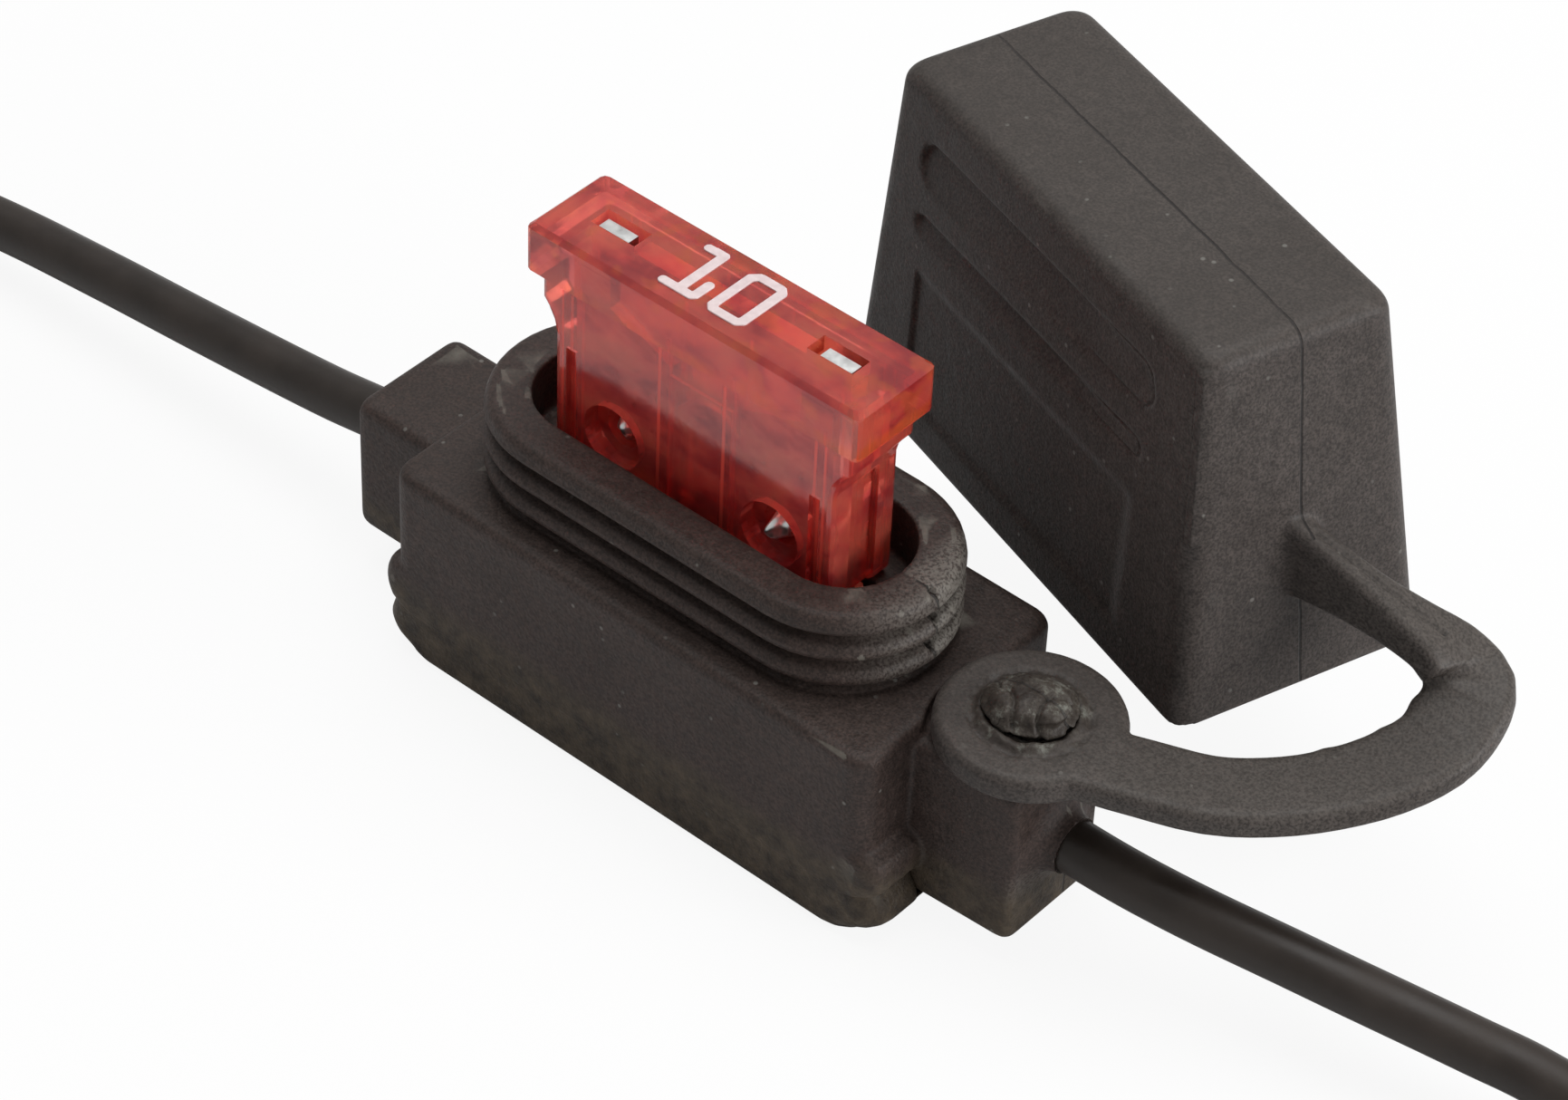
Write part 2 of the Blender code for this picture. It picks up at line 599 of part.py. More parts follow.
def fuse_housing(plastic):
    """Moulded head and body round a slot for the element, with test windows and round wells."""
    body_top = FUSE_FLOOR + FUSE_BODY_HEIGHT
    head_top = body_top + FUSE_HEAD_HEIGHT
    half = FUSE_BODY_LENGTH / 2
    shoulder = FUSE_SHOULDER_LENGTH / 2
    width = FUSE_BODY_WIDTH / 2
    bend_top = body_top - FUSE_SHOULDER_DROP
    rings = [
        (fuse_outline(half - FUSE_CORNER, width), FUSE_FLOOR),
        (fuse_outline(half, width), FUSE_FLOOR + FUSE_CORNER),
    ]
    for drop, share in ((1.0, 0.0), (0.6, 0.2), (0.25, 0.6), (0.0, 1.0)):
        half_x = half + (shoulder - half) * share
        rings.append((fuse_outline(half_x, width), bend_top - FUSE_SHOULDER_BEND * drop))
    rings.append((fuse_outline(shoulder, width), body_top + OVERLAP))
    housing = make_object("fuse_housing", stack(rings), plastic)
    head_x = FUSE_HEAD_LENGTH / 2
    head_y = FUSE_HEAD_WIDTH / 2
    edge = FUSE_HEAD_EDGE
    rings = [
        (fuse_outline(head_x - edge, head_y - edge), body_top),
        (fuse_outline(head_x, head_y), body_top + edge),
        (fuse_outline(head_x, head_y), head_top - edge),
        (fuse_outline(head_x - edge, head_y - edge), head_top),
    ]
    join(housing, make_object("fuse_head_form", stack(rings)))
    slot_x = BLADE_SPAN / 2 + RUNNING
    slot_y = BLADE_THICKNESS / 2 + RUNNING
    low = (-slot_x, -slot_y, FUSE_FLOOR - OVERCUT)
    cut(housing, box("element_slot_cutter", low, (slot_x, slot_y, head_top - FUSE_ROOF)))
    low = (-CHAMBER_HALF_LENGTH, -CHAMBER_HALF_WIDTH, FUSE_FLOOR - 2 * OVERCUT)
    high = (CHAMBER_HALF_LENGTH, CHAMBER_HALF_WIDTH, FUSE_FLOOR + CHAMBER_HEIGHT)
    cut(housing, box("link_chamber_cutter", low, high))
    for side in (-1, 1):
        ends = sorted((side * (slot_x - WINDOW_LENGTH), side * (slot_x + WINDOW_SIDE)))
        half_y = slot_y + WINDOW_SIDE
        low = (ends[0], -half_y, head_top - WINDOW_DEPTH)
        cut(housing, box(f"test_window_cutter_{side}", low, (ends[1], half_y, head_top + OVERCUT)))
        place = (side * BLADE_CENTRE, FUSE_FLOOR + WELL_HEIGHT)
        for word, radius, depth in (("mouth", WELL_RADIUS, WELL_DEPTH), ("bore", WELL_BORE, width)):
            for face in (-1, 1):
                cut(housing, well_cutter(f"well_{word}_cutter_{side}_{face}", place, face, radius, depth))
        ends = sorted((side * (half - END_GROOVE_DEPTH), side * (half + RUNNING)))
        groove_y = END_GROOVE_HALF_WIDTH
        groove_top = bend_top - FUSE_SHOULDER_BEND
        low = (ends[0], -groove_y, FUSE_FLOOR - OVERCUT)
        cut(housing, box(f"end_groove_cutter_{side}", low, (ends[1], groove_y, groove_top)))
        middle = side * FACE_GROOVE_MIDDLE
        for face in (-1, 1):
            deep = sorted((face * (width - FACE_GROOVE_DEPTH), face * (width + OVERCUT)))
            low = (middle - FACE_GROOVE_HALF_WIDTH, deep[0], FUSE_FLOOR - OVERCUT)
            high = (middle + FACE_GROOVE_HALF_WIDTH, deep[1], groove_top - OVERLAP)
            cut(housing, box(f"face_groove_cutter_{side}_{face}", low, high))
    return housing


def well_cutter(name, place, face, radius, depth):
    """Round cutter along Y that bites into one broad face of the fuse."""
    surface = face * FUSE_BODY_WIDTH / 2
    inner = surface - face * min(depth, FUSE_BODY_WIDTH / 2 - BLADE_THICKNESS / 2)
    outer = surface + face * OVERLAP
    ring = []
    for step in range(ROUND_STEPS):
        angle = 2 * math.pi * step / ROUND_STEPS
        ring.append((place[0] + radius * math.cos(angle), place[1] + radius * math.sin(angle)))
    return make_object(name, loft([[(x, y, z) for x, z in ring] for y in (inner, outer)]))


def fuse_element(metal):
    """Stamped strip: two blades, a test pad on each, and the thin link that bridges them."""
    top = FUSE_FLOOR + FUSE_BODY_HEIGHT + FUSE_HEAD_HEIGHT - PAD_SINK
    tip = FUSE_FLOOR - BLADE_DEPTH
    outer = BLADE_SPAN / 2
    inner = outer - BLADE_WIDTH
    pad = outer - PAD_LENGTH
    chamfer = BLADE_CHAMFER
    half = BLADE_THICKNESS / 2
    blades = []
    for side in (1, -1):
        outline = [
            (side * outer, tip + chamfer), (side * outer, top), (side * pad, top),
            (side * pad, top - PAD_DROP), (side * inner, top - 1.5 * PAD_DROP),
            (side * inner, tip + chamfer), (side * (inner + chamfer), tip), (side * (outer - chamfer), tip),
        ]
        blades.append(loft([[(x, y, z) for x, z in outline] for y in (-half, half)]))
    element = make_object("fuse_element", blades[0], metal)
    join(element, make_object("left_blade_form", blades[1]))
    low = FUSE_FLOOR + LINK_FOOT
    arch = []
    for step in range(LINK_STEPS + 1):
        angle = math.pi * step / LINK_STEPS
        arch.append(((inner + OVERLAP) * math.cos(angle), low + LINK_RISE * math.sin(angle)))
    for step in range(LINK_STEPS + 1):
        angle = math.pi * (1 - step / LINK_STEPS)
        arch.append(((inner - GAP) * math.cos(angle), low + (LINK_RISE - LINK_BAND) * math.sin(angle)))
    half = LINK_THICKNESS / 2
    join(element, make_object("link_form", loft([[(x, y, z) for x, z in arch] for y in (-half, half)])))
    return element


def cap_matrix():
    turn = Matrix.Rotation(math.radians(CAP_YAW), 4, "Z")
    turn = turn @ Matrix.Rotation(math.radians(CAP_PITCH), 4, "Y")
    turn = turn @ Matrix.Rotation(math.radians(CAP_ROLL), 4, "X")
    return Matrix.Translation(CAP_CENTRE) @ turn


def cap_outline(share, inset, corner):
    """Outline of the cap at a share of its height, from the mouth to the roof."""
    length = CAP_MOUTH_LENGTH + share * (CAP_TOP_LENGTH - CAP_MOUTH_LENGTH)
    width = CAP_MOUTH_WIDTH + share * (CAP_TOP_WIDTH - CAP_MOUTH_WIDTH)
    return rounded_outline(length / 2 - inset, width / 2 - inset, corner)


def cap_shell_form():
    rings = [(cap_outline(0.0, 0.0, CAP_CORNER), 0.0)]
    for step in range(5):
        angle = math.pi / 2 * step / 4
        height = CAP_HEIGHT - CAP_TOP_EDGE + CAP_TOP_EDGE * math.sin(angle)
        inset = CAP_TOP_EDGE * (1 - math.cos(angle))
        rings.append((cap_outline(height / CAP_HEIGHT, inset, CAP_CORNER), height))
    return stack(rings)


def cap_hollow_form():
    depth = CAP_HEIGHT - CAP_WALL * 1.2
    corner = CAP_CORNER * 0.6
    rings = [(cap_outline(-0.06, CAP_WALL, corner), -0.06 * CAP_HEIGHT)]
    for step in range(4):
        angle = math.pi / 2 * step / 3
        height = depth - CAP_HOLLOW_EDGE * (1 - math.sin(angle))
        inset = CAP_WALL + CAP_HOLLOW_EDGE * (1 - math.cos(angle))
        rings.append((cap_outline(height / CAP_HEIGHT, inset, corner), height))
    return stack(rings)


def face_recess(name, low_x, high_x, low_z, high_z, depth):
    """Cutter for a finger recess in the cap's broad face on the -Y side, deepest along its top."""
    radius = (high_z - low_z) / 2 * 0.98
    outline = rounded_outline((high_x - low_x) / 2, (high_z - low_z) / 2, radius, 5)
    rings = []
    for inner in (True, False):
        ring = []
        for x, z in outline:
            height = (low_z + high_z) / 2 + z
            face = (CAP_MOUTH_WIDTH + height / CAP_HEIGHT * (CAP_TOP_WIDTH - CAP_MOUTH_WIDTH)) / 2
            share = (height - low_z) / (high_z - low_z)
            reach = -RECESS_FOOT_DEPTH - share * (depth - RECESS_FOOT_DEPTH) if inner else OVERCUT
            ring.append(((low_x + high_x) / 2 + x, -face - reach, height))
        rings.append(ring)
    return make_object(name, loft(rings))


def route_point(points, place):
    """Catmull-Rom value of a list of equal tuples at a place counted in points."""
    last = len(points) - 1
    index = min(int(place), last - 1)
    share = place - index
    before = points[max(index - 1, 0)]
    start = points[index]
    end = points[index + 1]
    after = points[min(index + 2, last)]
    value = []
    for a, b, c, d in zip(before, start, end, after):
        linear = (c - a) * share
        square = (2 * a - 5 * b + 4 * c - d) * share ** 2
        cube = (3 * b - a - 3 * c + d) * share ** 3
        value.append(b + 0.5 * (linear + square + cube))
    return value


def tether_form():
    """Flat band that turns into a tall narrow web where it joins the cap."""
    places = [step / 3 for step in range(3 * (len(TETHER) - 1) + 1)]
    rings = []
    for place in places:
        x, y, z, width, depth = route_point(TETHER, place)
        ahead = Vector(route_point(TETHER, min(place + 0.1, len(TETHER) - 1))[:3])
        behind = Vector(route_point(TETHER, max(place - 0.1, 0))[:3])
        along = (ahead - behind).normalized()
        across = along.cross(Vector((0, 0, 1))).normalized()
        up = across.cross(along).normalized()
        top = Vector((x, y, z))
        outline = rounded_outline(width / 2, depth / 2, TETHER_EDGE, 1)
        rings.append([top - up * depth / 2 + across * u + up * v for u, v in outline])
    return loft(rings)


def eye_form():
    ring_inner = EYE_RING_RADIUS - EYE_RING_WALL
    ring_top = EYE_TOP + EYE_RING_HEIGHT
    profile = [
        (0.0, EYE_BOTTOM), (EYE_RADIUS - EYE_EDGE, EYE_BOTTOM), (EYE_RADIUS, EYE_BOTTOM + EYE_EDGE),
        (EYE_RADIUS, EYE_TOP - EYE_EDGE), (EYE_RADIUS - EYE_EDGE, EYE_TOP),
        (EYE_RING_RADIUS, EYE_TOP), (EYE_RING_RADIUS - EYE_EDGE / 2, ring_top),
        (ring_inner, ring_top), (ring_inner, EYE_TOP), (0.0, EYE_TOP),
    ]
    return turned(profile, (POST_X, 0.0), EYE_STEPS)


def cap_with_tether(rubber):
    place = cap_matrix()
    cap = make_object("cap_with_tether", cap_shell_form(), rubber)
    cap.data.transform(place)
    cutters = [
        face_recess("upper_recess_cutter", *UPPER_RECESS),
        face_recess("lower_recess_cutter", *LOWER_RECESS),
    ]
    for cutter in cutters:
        cutter.data.transform(place)
        cut(cap, cutter)
    join(cap, make_object("tether_form", tether_form()))
    hollow = make_object("cap_hollow_cutter", cap_hollow_form())
    hollow.data.transform(place)
    cut(cap, hollow)
    join(cap, make_object("eye_form", eye_form()))
    foot = EYE_BOTTOM - OVERCUT
    top = EYE_TOP + OVERCUT
    radius = POST_RADIUS + GAP
    hole = [(0.0, foot), (radius, foot), (radius, top), (0.0, top)]
    cut(cap, make_object("eye_hole_cutter", turned(hole, (POST_X, 0.0))))
    set_origin(cap, (POST_X, 0.0, 0.0))
    return cap


def lead(name, side, exit_x, route, jacket):
    """Straight stretch of a lead, from its crimp through the boot to its coil."""
    points = [(side * LEAD_START, 0.0, LEAD_HEIGHT), (exit_x, 0.0, LEAD_HEIGHT)]
    points += route
    last = len(points) - 1
    length = sum(math.dist(a, b) for a, b in zip(points, points[1:]))
    count = max(4, round(length / (2.4 * LEAD_DIAMETER)))
    curve = bpy.data.curves.new(name, "CURVE")
    curve.dimensions = "3D"
    curve.bevel_depth = LEAD_RADIUS
    curve.bevel_resolution = 2
    curve.use_fill_caps = True
    spline = curve.splines.new("POLY")
    spline.points.add(count)
    for index, point in enumerate(spline.points):
        point.co = (*route_point(points, last * index / count), 1.0)
    curve.materials.append(jacket)
    made = bpy.data.objects.new(name, curve)
    bpy.context.scene.collection.objects.link(made)
    return made


def lead_coil(name, centre, jacket):
    """Outer shape of the lead's wound turns, lying flat."""
    low = TURNS_MEAN_RADIUS - COIL_HALF_WIDTH
    high = TURNS_MEAN_RADIUS + COIL_HALF_WIDTH
    corner = LEAD_RADIUS * 0.6
    section = [
        (low + corner, COIL_BOTTOM), (high - corner, COIL_BOTTOM), (high, COIL_BOTTOM + corner),
        (high, COIL_TOP - corner), (high - corner, COIL_TOP), (low + corner, COIL_TOP),
        (low, COIL_TOP - corner), (low, COIL_BOTTOM + corner),
    ]
    shape = bmesh.new()
    steps = COIL_STEPS
    rings = []
    for step in range(steps):
        angle = 2 * math.pi * step / steps
        ring = []
        for radius, height in section:
            x = centre[0] + radius * math.cos(angle)
            y = centre[1] + radius * math.sin(angle)
            ring.append(shape.verts.new((x, y, height)))
        rings.append(ring)
    for step, ring in enumerate(rings):
        other = rings[(step + 1) % steps]
        for index, corner_point in enumerate(ring):
            after = (index + 1) % len(ring)
            shape.faces.new((corner_point, ring[after], other[after], other[index]))
    return make_object(name, shape, jacket)


def coil_tie(name, centre, angle, nylon):
    """Thin band round both turns with its lock on the outside."""
    inner_x = COIL_HALF_WIDTH + GAP
    outer_x = inner_x + TIE_THICKNESS
    top = COIL_TOP + GAP + TIE_THICKNESS
    middle = TURNS_MEAN_RADIUS
    half = TIE_WIDTH / 2
    tie = box(name, (middle - outer_x, -half, 0.0), (middle + outer_x, half, top), nylon)
    low = (middle + outer_x - TIE_THICKNESS / 2, -half - GAP, COIL_MID - TIE_LOCK_HALF_HEIGHT)
    high = (middle + outer_x + TIE_LOCK_LENGTH, half + GAP, top - TIE_LOCK_RIM)
    lock = box(f"{name}_lock_form", low, high)
    low = (middle - inner_x, -half - OVERCUT, TIE_THICKNESS)
    hole = box(f"{name}_hole_cutter", low, (middle + inner_x, half + OVERCUT, top - TIE_THICKNESS))
    place = Matrix.Translation((centre[0], centre[1], 0.0)) @ Matrix.Rotation(math.radians(angle), 4, "Z")
    for thing in (tie, lock, hole):
        thing.data.transform(place)
    join(tie, lock)
    cut(tie, hole)
    return tie


def bare_end(name, centre, angle, copper):
    """Stripped strands at the free end, lying along the inside of the coil."""
    reach = TURNS_MEAN_RADIUS - COIL_HALF_WIDTH - CORE_RADIUS - 2 * GAP
    half = BARE_END_LENGTH / 2
    made = rod_x(name, CORE_RADIUS, -half, half, reach, COIL_MID, copper, steps=12)
    turn = Matrix.Rotation(math.radians(angle - 90), 4, "Z")
    made.data.transform(Matrix.Translation((centre[0], centre[1], 0.0)) @ turn)
    return made


def main():
    clear_scene()
    rubber = material("black_rubber", (0.045, 0.038, 0.036), 0.62)
    cover_rubber = material("cover_rubber", (0.042, 0.036, 0.034), 0.68)
    tether_rubber = material("cap_rubber", (0.050, 0.044, 0.042), 0.60)
    red = material("fuse_plastic", (0.52, 0.030, 0.016), 0.18)
    zinc = material("fuse_metal", (0.70, 0.69, 0.66), 0.32, 1.0)
    brass = material("tinned_brass", (0.72, 0.68, 0.58), 0.35, 1.0)
    copper = material("copper_strands", (0.72, 0.38, 0.22), 0.38, 1.0)
    jacket = material("lead_jacket", (0.022, 0.021, 0.021), 0.42)
    nylon = material("tie_nylon", (0.030, 0.030, 0.030), 0.45)

    holder_body(rubber)
    base_cover(cover_rubber)
    cap_with_tether(tether_rubber)
    fuse_housing(red)
    fuse_element(zinc)
    for name, side in (("left", -1), ("right", 1)):
        terminal(f"terminal_{name}", side, brass)
        conductor(f"conductor_{name}", side, copper)
    lead("left_lead", -1, LEFT_EXIT, LEFT_ROUTE, jacket)
    lead("right_lead", 1, RIGHT_EXIT, RIGHT_ROUTE, jacket)
    for name, centre, tie_angle, end_angle in (
        ("left", LEFT_COIL_CENTRE, LEFT_TIE_ANGLE, LEFT_BARE_END_ANGLE),
        ("right", RIGHT_COIL_CENTRE, RIGHT_TIE_ANGLE, RIGHT_BARE_END_ANGLE),
    ):
        lead_coil(f"{name}_lead_coil", centre, jacket)
        coil_tie(f"{name}_coil_tie", centre, tie_angle, nylon)
        bare_end(f"{name}_bare_end", centre, end_angle, copper)


main()
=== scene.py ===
"""Looks of the inline blade-fuse holder, in the frame of its CAD model. Units are metres."""

import math

import bmesh
import bpy
import numpy as np
from mathutils import Matrix, Vector, noise


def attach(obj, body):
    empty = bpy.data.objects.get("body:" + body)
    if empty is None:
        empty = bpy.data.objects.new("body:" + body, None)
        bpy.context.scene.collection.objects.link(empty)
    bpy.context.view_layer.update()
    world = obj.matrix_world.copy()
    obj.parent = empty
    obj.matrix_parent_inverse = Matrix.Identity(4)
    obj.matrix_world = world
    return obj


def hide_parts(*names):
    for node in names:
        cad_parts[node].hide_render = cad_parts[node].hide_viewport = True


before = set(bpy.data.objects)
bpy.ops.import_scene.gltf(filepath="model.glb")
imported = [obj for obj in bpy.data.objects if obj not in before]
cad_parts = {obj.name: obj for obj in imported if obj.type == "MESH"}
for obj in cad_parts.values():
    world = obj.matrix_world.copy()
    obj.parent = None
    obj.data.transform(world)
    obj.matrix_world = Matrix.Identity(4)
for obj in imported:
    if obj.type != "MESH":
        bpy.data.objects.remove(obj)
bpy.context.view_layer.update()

# Directions
RIGHTWARD = (1.0, 0.0, 0.0)
AWAY = (0.0, 1.0, 0.0)
UPWARD = (0.0, 0.0, 1.0)
DOWNWARD = (0.0, 0.0, -1.0)
ORIGIN = (0.0, 0.0, 0.0)

# Camera, fitted to the photo
AZIMUTH = 0.68699
ELEVATION = 0.73562
ROLL = 0.04642
DISTANCE = 0.22375
TARGET = (0.0021576, 0.0019333, 0.0106)
FOCAL_LENGTH = 114.46
SENSOR_WIDTH = 36.0

# Leads, as in the CAD
LEAD_DIAMETER = 0.00255
LEAD_HEIGHT = 0.0061
LEAD_START = 0.0120
LEAD_STRAIGHT = 0.0155
LEFT_EXIT = -0.0196
RIGHT_EXIT = 0.0198
LEFT_ROUTE = (
    (-0.0250, 0.0000, 0.0053),
    (-0.0330, 0.0000, 0.0044),
    (-0.0410, 0.0000, 0.0036),
    (-0.0480, -0.00015, 0.0029),
    (-0.0555, -0.0010, 0.0024),
    (-0.0630, -0.00235, 0.0021),
    (-0.0705, -0.0037, 0.001975),
)
RIGHT_ROUTE = (
    (0.0245, 0.0005, 0.0057),
    (0.0320, 0.0022, 0.0049),
    (0.0395, 0.0041, 0.0040),
    (0.0425, 0.00485, 0.0036),
    (0.0455, 0.0052, 0.0031),
    (0.04845, 0.0048, 0.00265),
    (0.0512, 0.0037, 0.00225),
    (0.0538, 0.00225, 0.001975),
)

# Coils: centre, degrees at which the turns start, sense of the turns, degrees turned
LEFT_COIL = ((-0.08198, 0.00864), -80.0, -1, 590)
RIGHT_COIL = ((0.06867, 0.01019), -119.0, 1, 680)
COIL_MID = 0.001975
OUTER_TURN = 0.01415
INNER_TURN = 0.01145
LAST_RADIUS = 0.00908

# Degrees round a coil: where the outer turn ends, where the inner one starts, and how long its end
# takes to lean inwards
OUTER_DEGREES = 190
INNER_DEGREES = 350
LEAVING = 120
LEAVING_CURVE = 1.1
KNOT_STEP = 15

# Bare ends: one strand in the middle, and rings of strands round it by radius and number
BARE_END_RADIUS = 0.0087
BARE_END_HALF = 0.0025
BARE_END_GAP = 0.0001
STRAND_RADIUS = 0.000165
STRAND_RINGS = ((0.00034, 6), (0.00067, 12))
STRAND_TWIST = 1.9
STRAND_FLARE = 0.06
STRAND_UNEVEN = 0.03
STRAND_STEPS = 22
STRAND_SIDES = 8

# Boots on their leads: reach and depth of their grip, and the taper of the right one's neck
GRIP_FROM = 0.0150
GRIP_FULL = 0.0016
GRIP_NONE = 0.0021
GRIP_DEPTH = 0.00032
NECK_START = 0.01984
NECK_RADIUS = 0.00132
NECK_FLARE = 0.00100
NECK_TAPER = 0.00032

# Collar, as in the CAD: half of its straight sides, its radius, and the middle of each groove
COLLAR_STRAIGHT = 0.0071
COLLAR_RADIUS = 0.0054
COLLAR_WALL = 0.0012
BLOCK_TOP = 0.0111
GROOVES = (0.01434, 0.01287, 0.01140)

# Each groove's extra depth and half width, and the lips beside it
GROOVE_DEPTH = 0.00030
GROOVE_HALF = 0.00034
LIP_HEIGHT = 0.00007
LIP_OFF = 0.00060
LIP_HALF = 0.00026

# Nicks in the ribs' right ends at the mould's split: lower and upper edge, middle, depth
NICKS = (
    (0.0150, 0.0160, -0.00022, 0.00046),
    (0.0136, 0.0142, 0.00004, 0.00044),
    (0.0121, 0.0127, -0.00018, 0.00040),
)
NICKS_FROM = 0.0111
NICK_HALF = 0.00024
NICK_LEAN = 0.25

# Post and eye, as in the CAD, and the lumps of the stake's head: height, scale and seed
POST_X = 0.0179
EYE_TOP = 0.0122
STAKE_REACH = 0.0022
STAKE_LUMPS = ((0.00026, 620.0, 3.0), (0.00008, 2600.0, 11.0))
STAKE_RADIUS = 0.0018
STAKE_TILT = 0.00010
STAKE_SWELL = 0.12
SKIRT_SWELL = 0.16
FURROW_DEPTH = 0.00020
FURROW_SCALE = 420.0
FURROW_SEED = 29.0
FURROW_WIDTH = 0.07

# Waves round the stake's head: share of its radius, number, and angle at which they start
STAKE_WAVES = ((0.06, 2, 0.6), (0.04, 5, 2.0))

# Cover, as in the CAD, its rim, and the notches at its ends
COVER_HEIGHT = 0.0026
HALF_LENGTH = 0.0142
HALF_WIDTH = 0.0066
RIM_WIDTH = 0.0007
RIM_LIFT = 0.00075
SKIN = 0.00002
SNUG_WIDTH = 0.0004
SNUG_END = 0.0020
NOTCH_FROM = 0.0130
NOTCH_FLOOR = 0.0009
NOTCH_SIDE = 0.0034
NOTCH_FADE = (0.0037, 0.0045)
NOTCH_CLOSING = 0.00040

# Cap, as in the CAD
CAP_CENTRE = (0.01063, 0.01616, 0.0096)
CAP_YAW = -19.8
CAP_PITCH = -2.26
CAP_ROLL = 1.75
CAP_HEIGHT = 0.01859
CAP_MOUTH_WIDTH = 0.01297
CAP_TOP_WIDTH = 0.00960

# Field on the cap's near face, in the cap's own axes: its depth, and each edge from full to none
FIELD_DEPTH = 0.00016
FIELD_LEFT = (-0.00925, -0.00960)
FIELD_RIGHT = (0.0080, 0.0092)
FIELD_LOW = (0.0024, 0.0018)
FIELD_HIGH = (0.0086, 0.0094)

# Finger recesses there: depths and heights between which they lie, and how they run out to the right
RECESS_DEPTHS = (0.00012, 0.0012)
RECESS_HEIGHTS = (0.0095, 0.0180)
RECESS_RUN = (0.0085, 0.0010)
RECESS_FILLED = 0.85

# Web between the cap and its tether: line of its groove, flash on its sides by x, y and thickness, and
# the heights between which those sides lie
WEB_LINE = ((0.02370, 0.01150), (0.02660, 0.01200), (0.02870, 0.01255), (0.03000, 0.01290))
WEB_GROOVE_DEPTH = 0.00016
WEB_GROOVE_HALF = 0.00022
FLASH = ((0.0288, 0.0066, 0.00020), (0.02995, 0.0109, 0.00024), (0.02955, 0.0093, 0.00010))
FLASH_WIDTH = 0.00042
WEB_HEIGHTS = (0.0105, 0.0150)

# Wear of the eye's rim: depth, scale and seed
RIM_REACH = 0.0028
RIM_RISE = 0.00008
RIM_WEAR = ((0.00013, 1500.0, 7.0), (0.00006, 3600.0, 17.0))

# Fuse, as in the CAD
HEAD_TOP = 0.02555
WELL_X = 0.00465
WELL_Z = 0.0158
WELL_BORE = 0.00105
BLADE_HALF = 0.000325
FUSE_EDGE = 0.00008

# Bulges in the wells: place, height and seed of each, then what they share
DIMPLES = ((-WELL_X, 0.00125, 3.0), (WELL_X, 0.00172, 9.0))
DIMPLE_RADIUS = WELL_BORE * 0.97
DIMPLE_NARROW = 0.74
DIMPLE_SINK = 0.00005
DIMPLE_RINGS = 9
DIMPLE_STEPS = 28
DIMPLE_UNEVEN = 0.35
DIMPLE_WAVES = 1.4

# Rating numeral: each stroke's points in millimetres, and whether it closes
STROKES = (
    ([(-2.49, 1.55), (-1.62, 1.58), (-1.62, -1.40)], False),
    ([(-2.52, -1.40), (-0.92, -1.40), (-0.80, -1.28), (-0.78, -0.36)], False),
    (
        [(0.46, 1.56), (1.66, 1.56), (1.86, 1.36), (1.86, -1.20),
         (1.66, -1.40), (0.36, -1.40), (0.16, -1.20), (0.16, 1.26)],
        True,
    ),
)
STROKE_HALF = 0.00024
STROKE_SINK = 0.00004
STROKE_RISE = 0.00007
STROKE_STEPS = 12
STROKE_VOXEL = 0.000030

# Least distance that anything is divided by
TINY = 1e-6


def camera():
    """Camera at the place from which the photo was taken."""
    back = Vector((
        math.sin(AZIMUTH) * math.cos(ELEVATION),
        -math.cos(AZIMUTH) * math.cos(ELEVATION),
        math.sin(ELEVATION),
    ))
    right = Vector((math.cos(AZIMUTH), math.sin(AZIMUTH), 0.0))
    up = back.cross(right)
    rolled_right = right * math.cos(ROLL) + up * math.sin(ROLL)
    rolled_up = up * math.cos(ROLL) - right * math.sin(ROLL)
    data = bpy.data.cameras.new("camera")
    data.sensor_width = SENSOR_WIDTH
    data.sensor_fit = "HORIZONTAL"
    data.lens = FOCAL_LENGTH
    data.clip_start = 0.01
    data.clip_end = 10.0
    made = bpy.data.objects.new("camera", data)
    matrix = Matrix((rolled_right, rolled_up, back)).transposed().to_4x4()
    matrix.translation = Vector(TARGET) + back * DISTANCE
    made.matrix_world = matrix
    bpy.context.scene.collection.objects.link(made)
    bpy.context.scene.camera = made


def coil_radius(turned, last):
    """Radius of the lead's middle after so many degrees round its coil."""
    if turned < OUTER_DEGREES:
        return OUTER_TURN
    if turned < INNER_DEGREES:
        share = (turned - OUTER_DEGREES) / (INNER_DEGREES - OUTER_DEGREES)
        share = share * share * (3 - 2 * share)
        return OUTER_TURN + share * (INNER_TURN - OUTER_TURN)
    share = max(0.0, (turned - last + LEAVING) / LEAVING)
    return INNER_TURN - (INNER_TURN - LAST_RADIUS) * share ** LEAVING_CURVE


def coil_points(coil):
    """Evenly spaced points round a coil, from its outer turn to the start of the bare end."""
    centre, start, sense, last = coil
    count = round(last / KNOT_STEP)
    points = []
    for step in range(count + 1):
        turned = last * step / count
        angle = math.radians(start + sense * turned)
        radius = coil_radius(turned, last)
        points.append((
            centre[0] + radius * math.cos(angle),
            centre[1] + radius * math.sin(angle),
            COIL_MID,
        ))
    return points


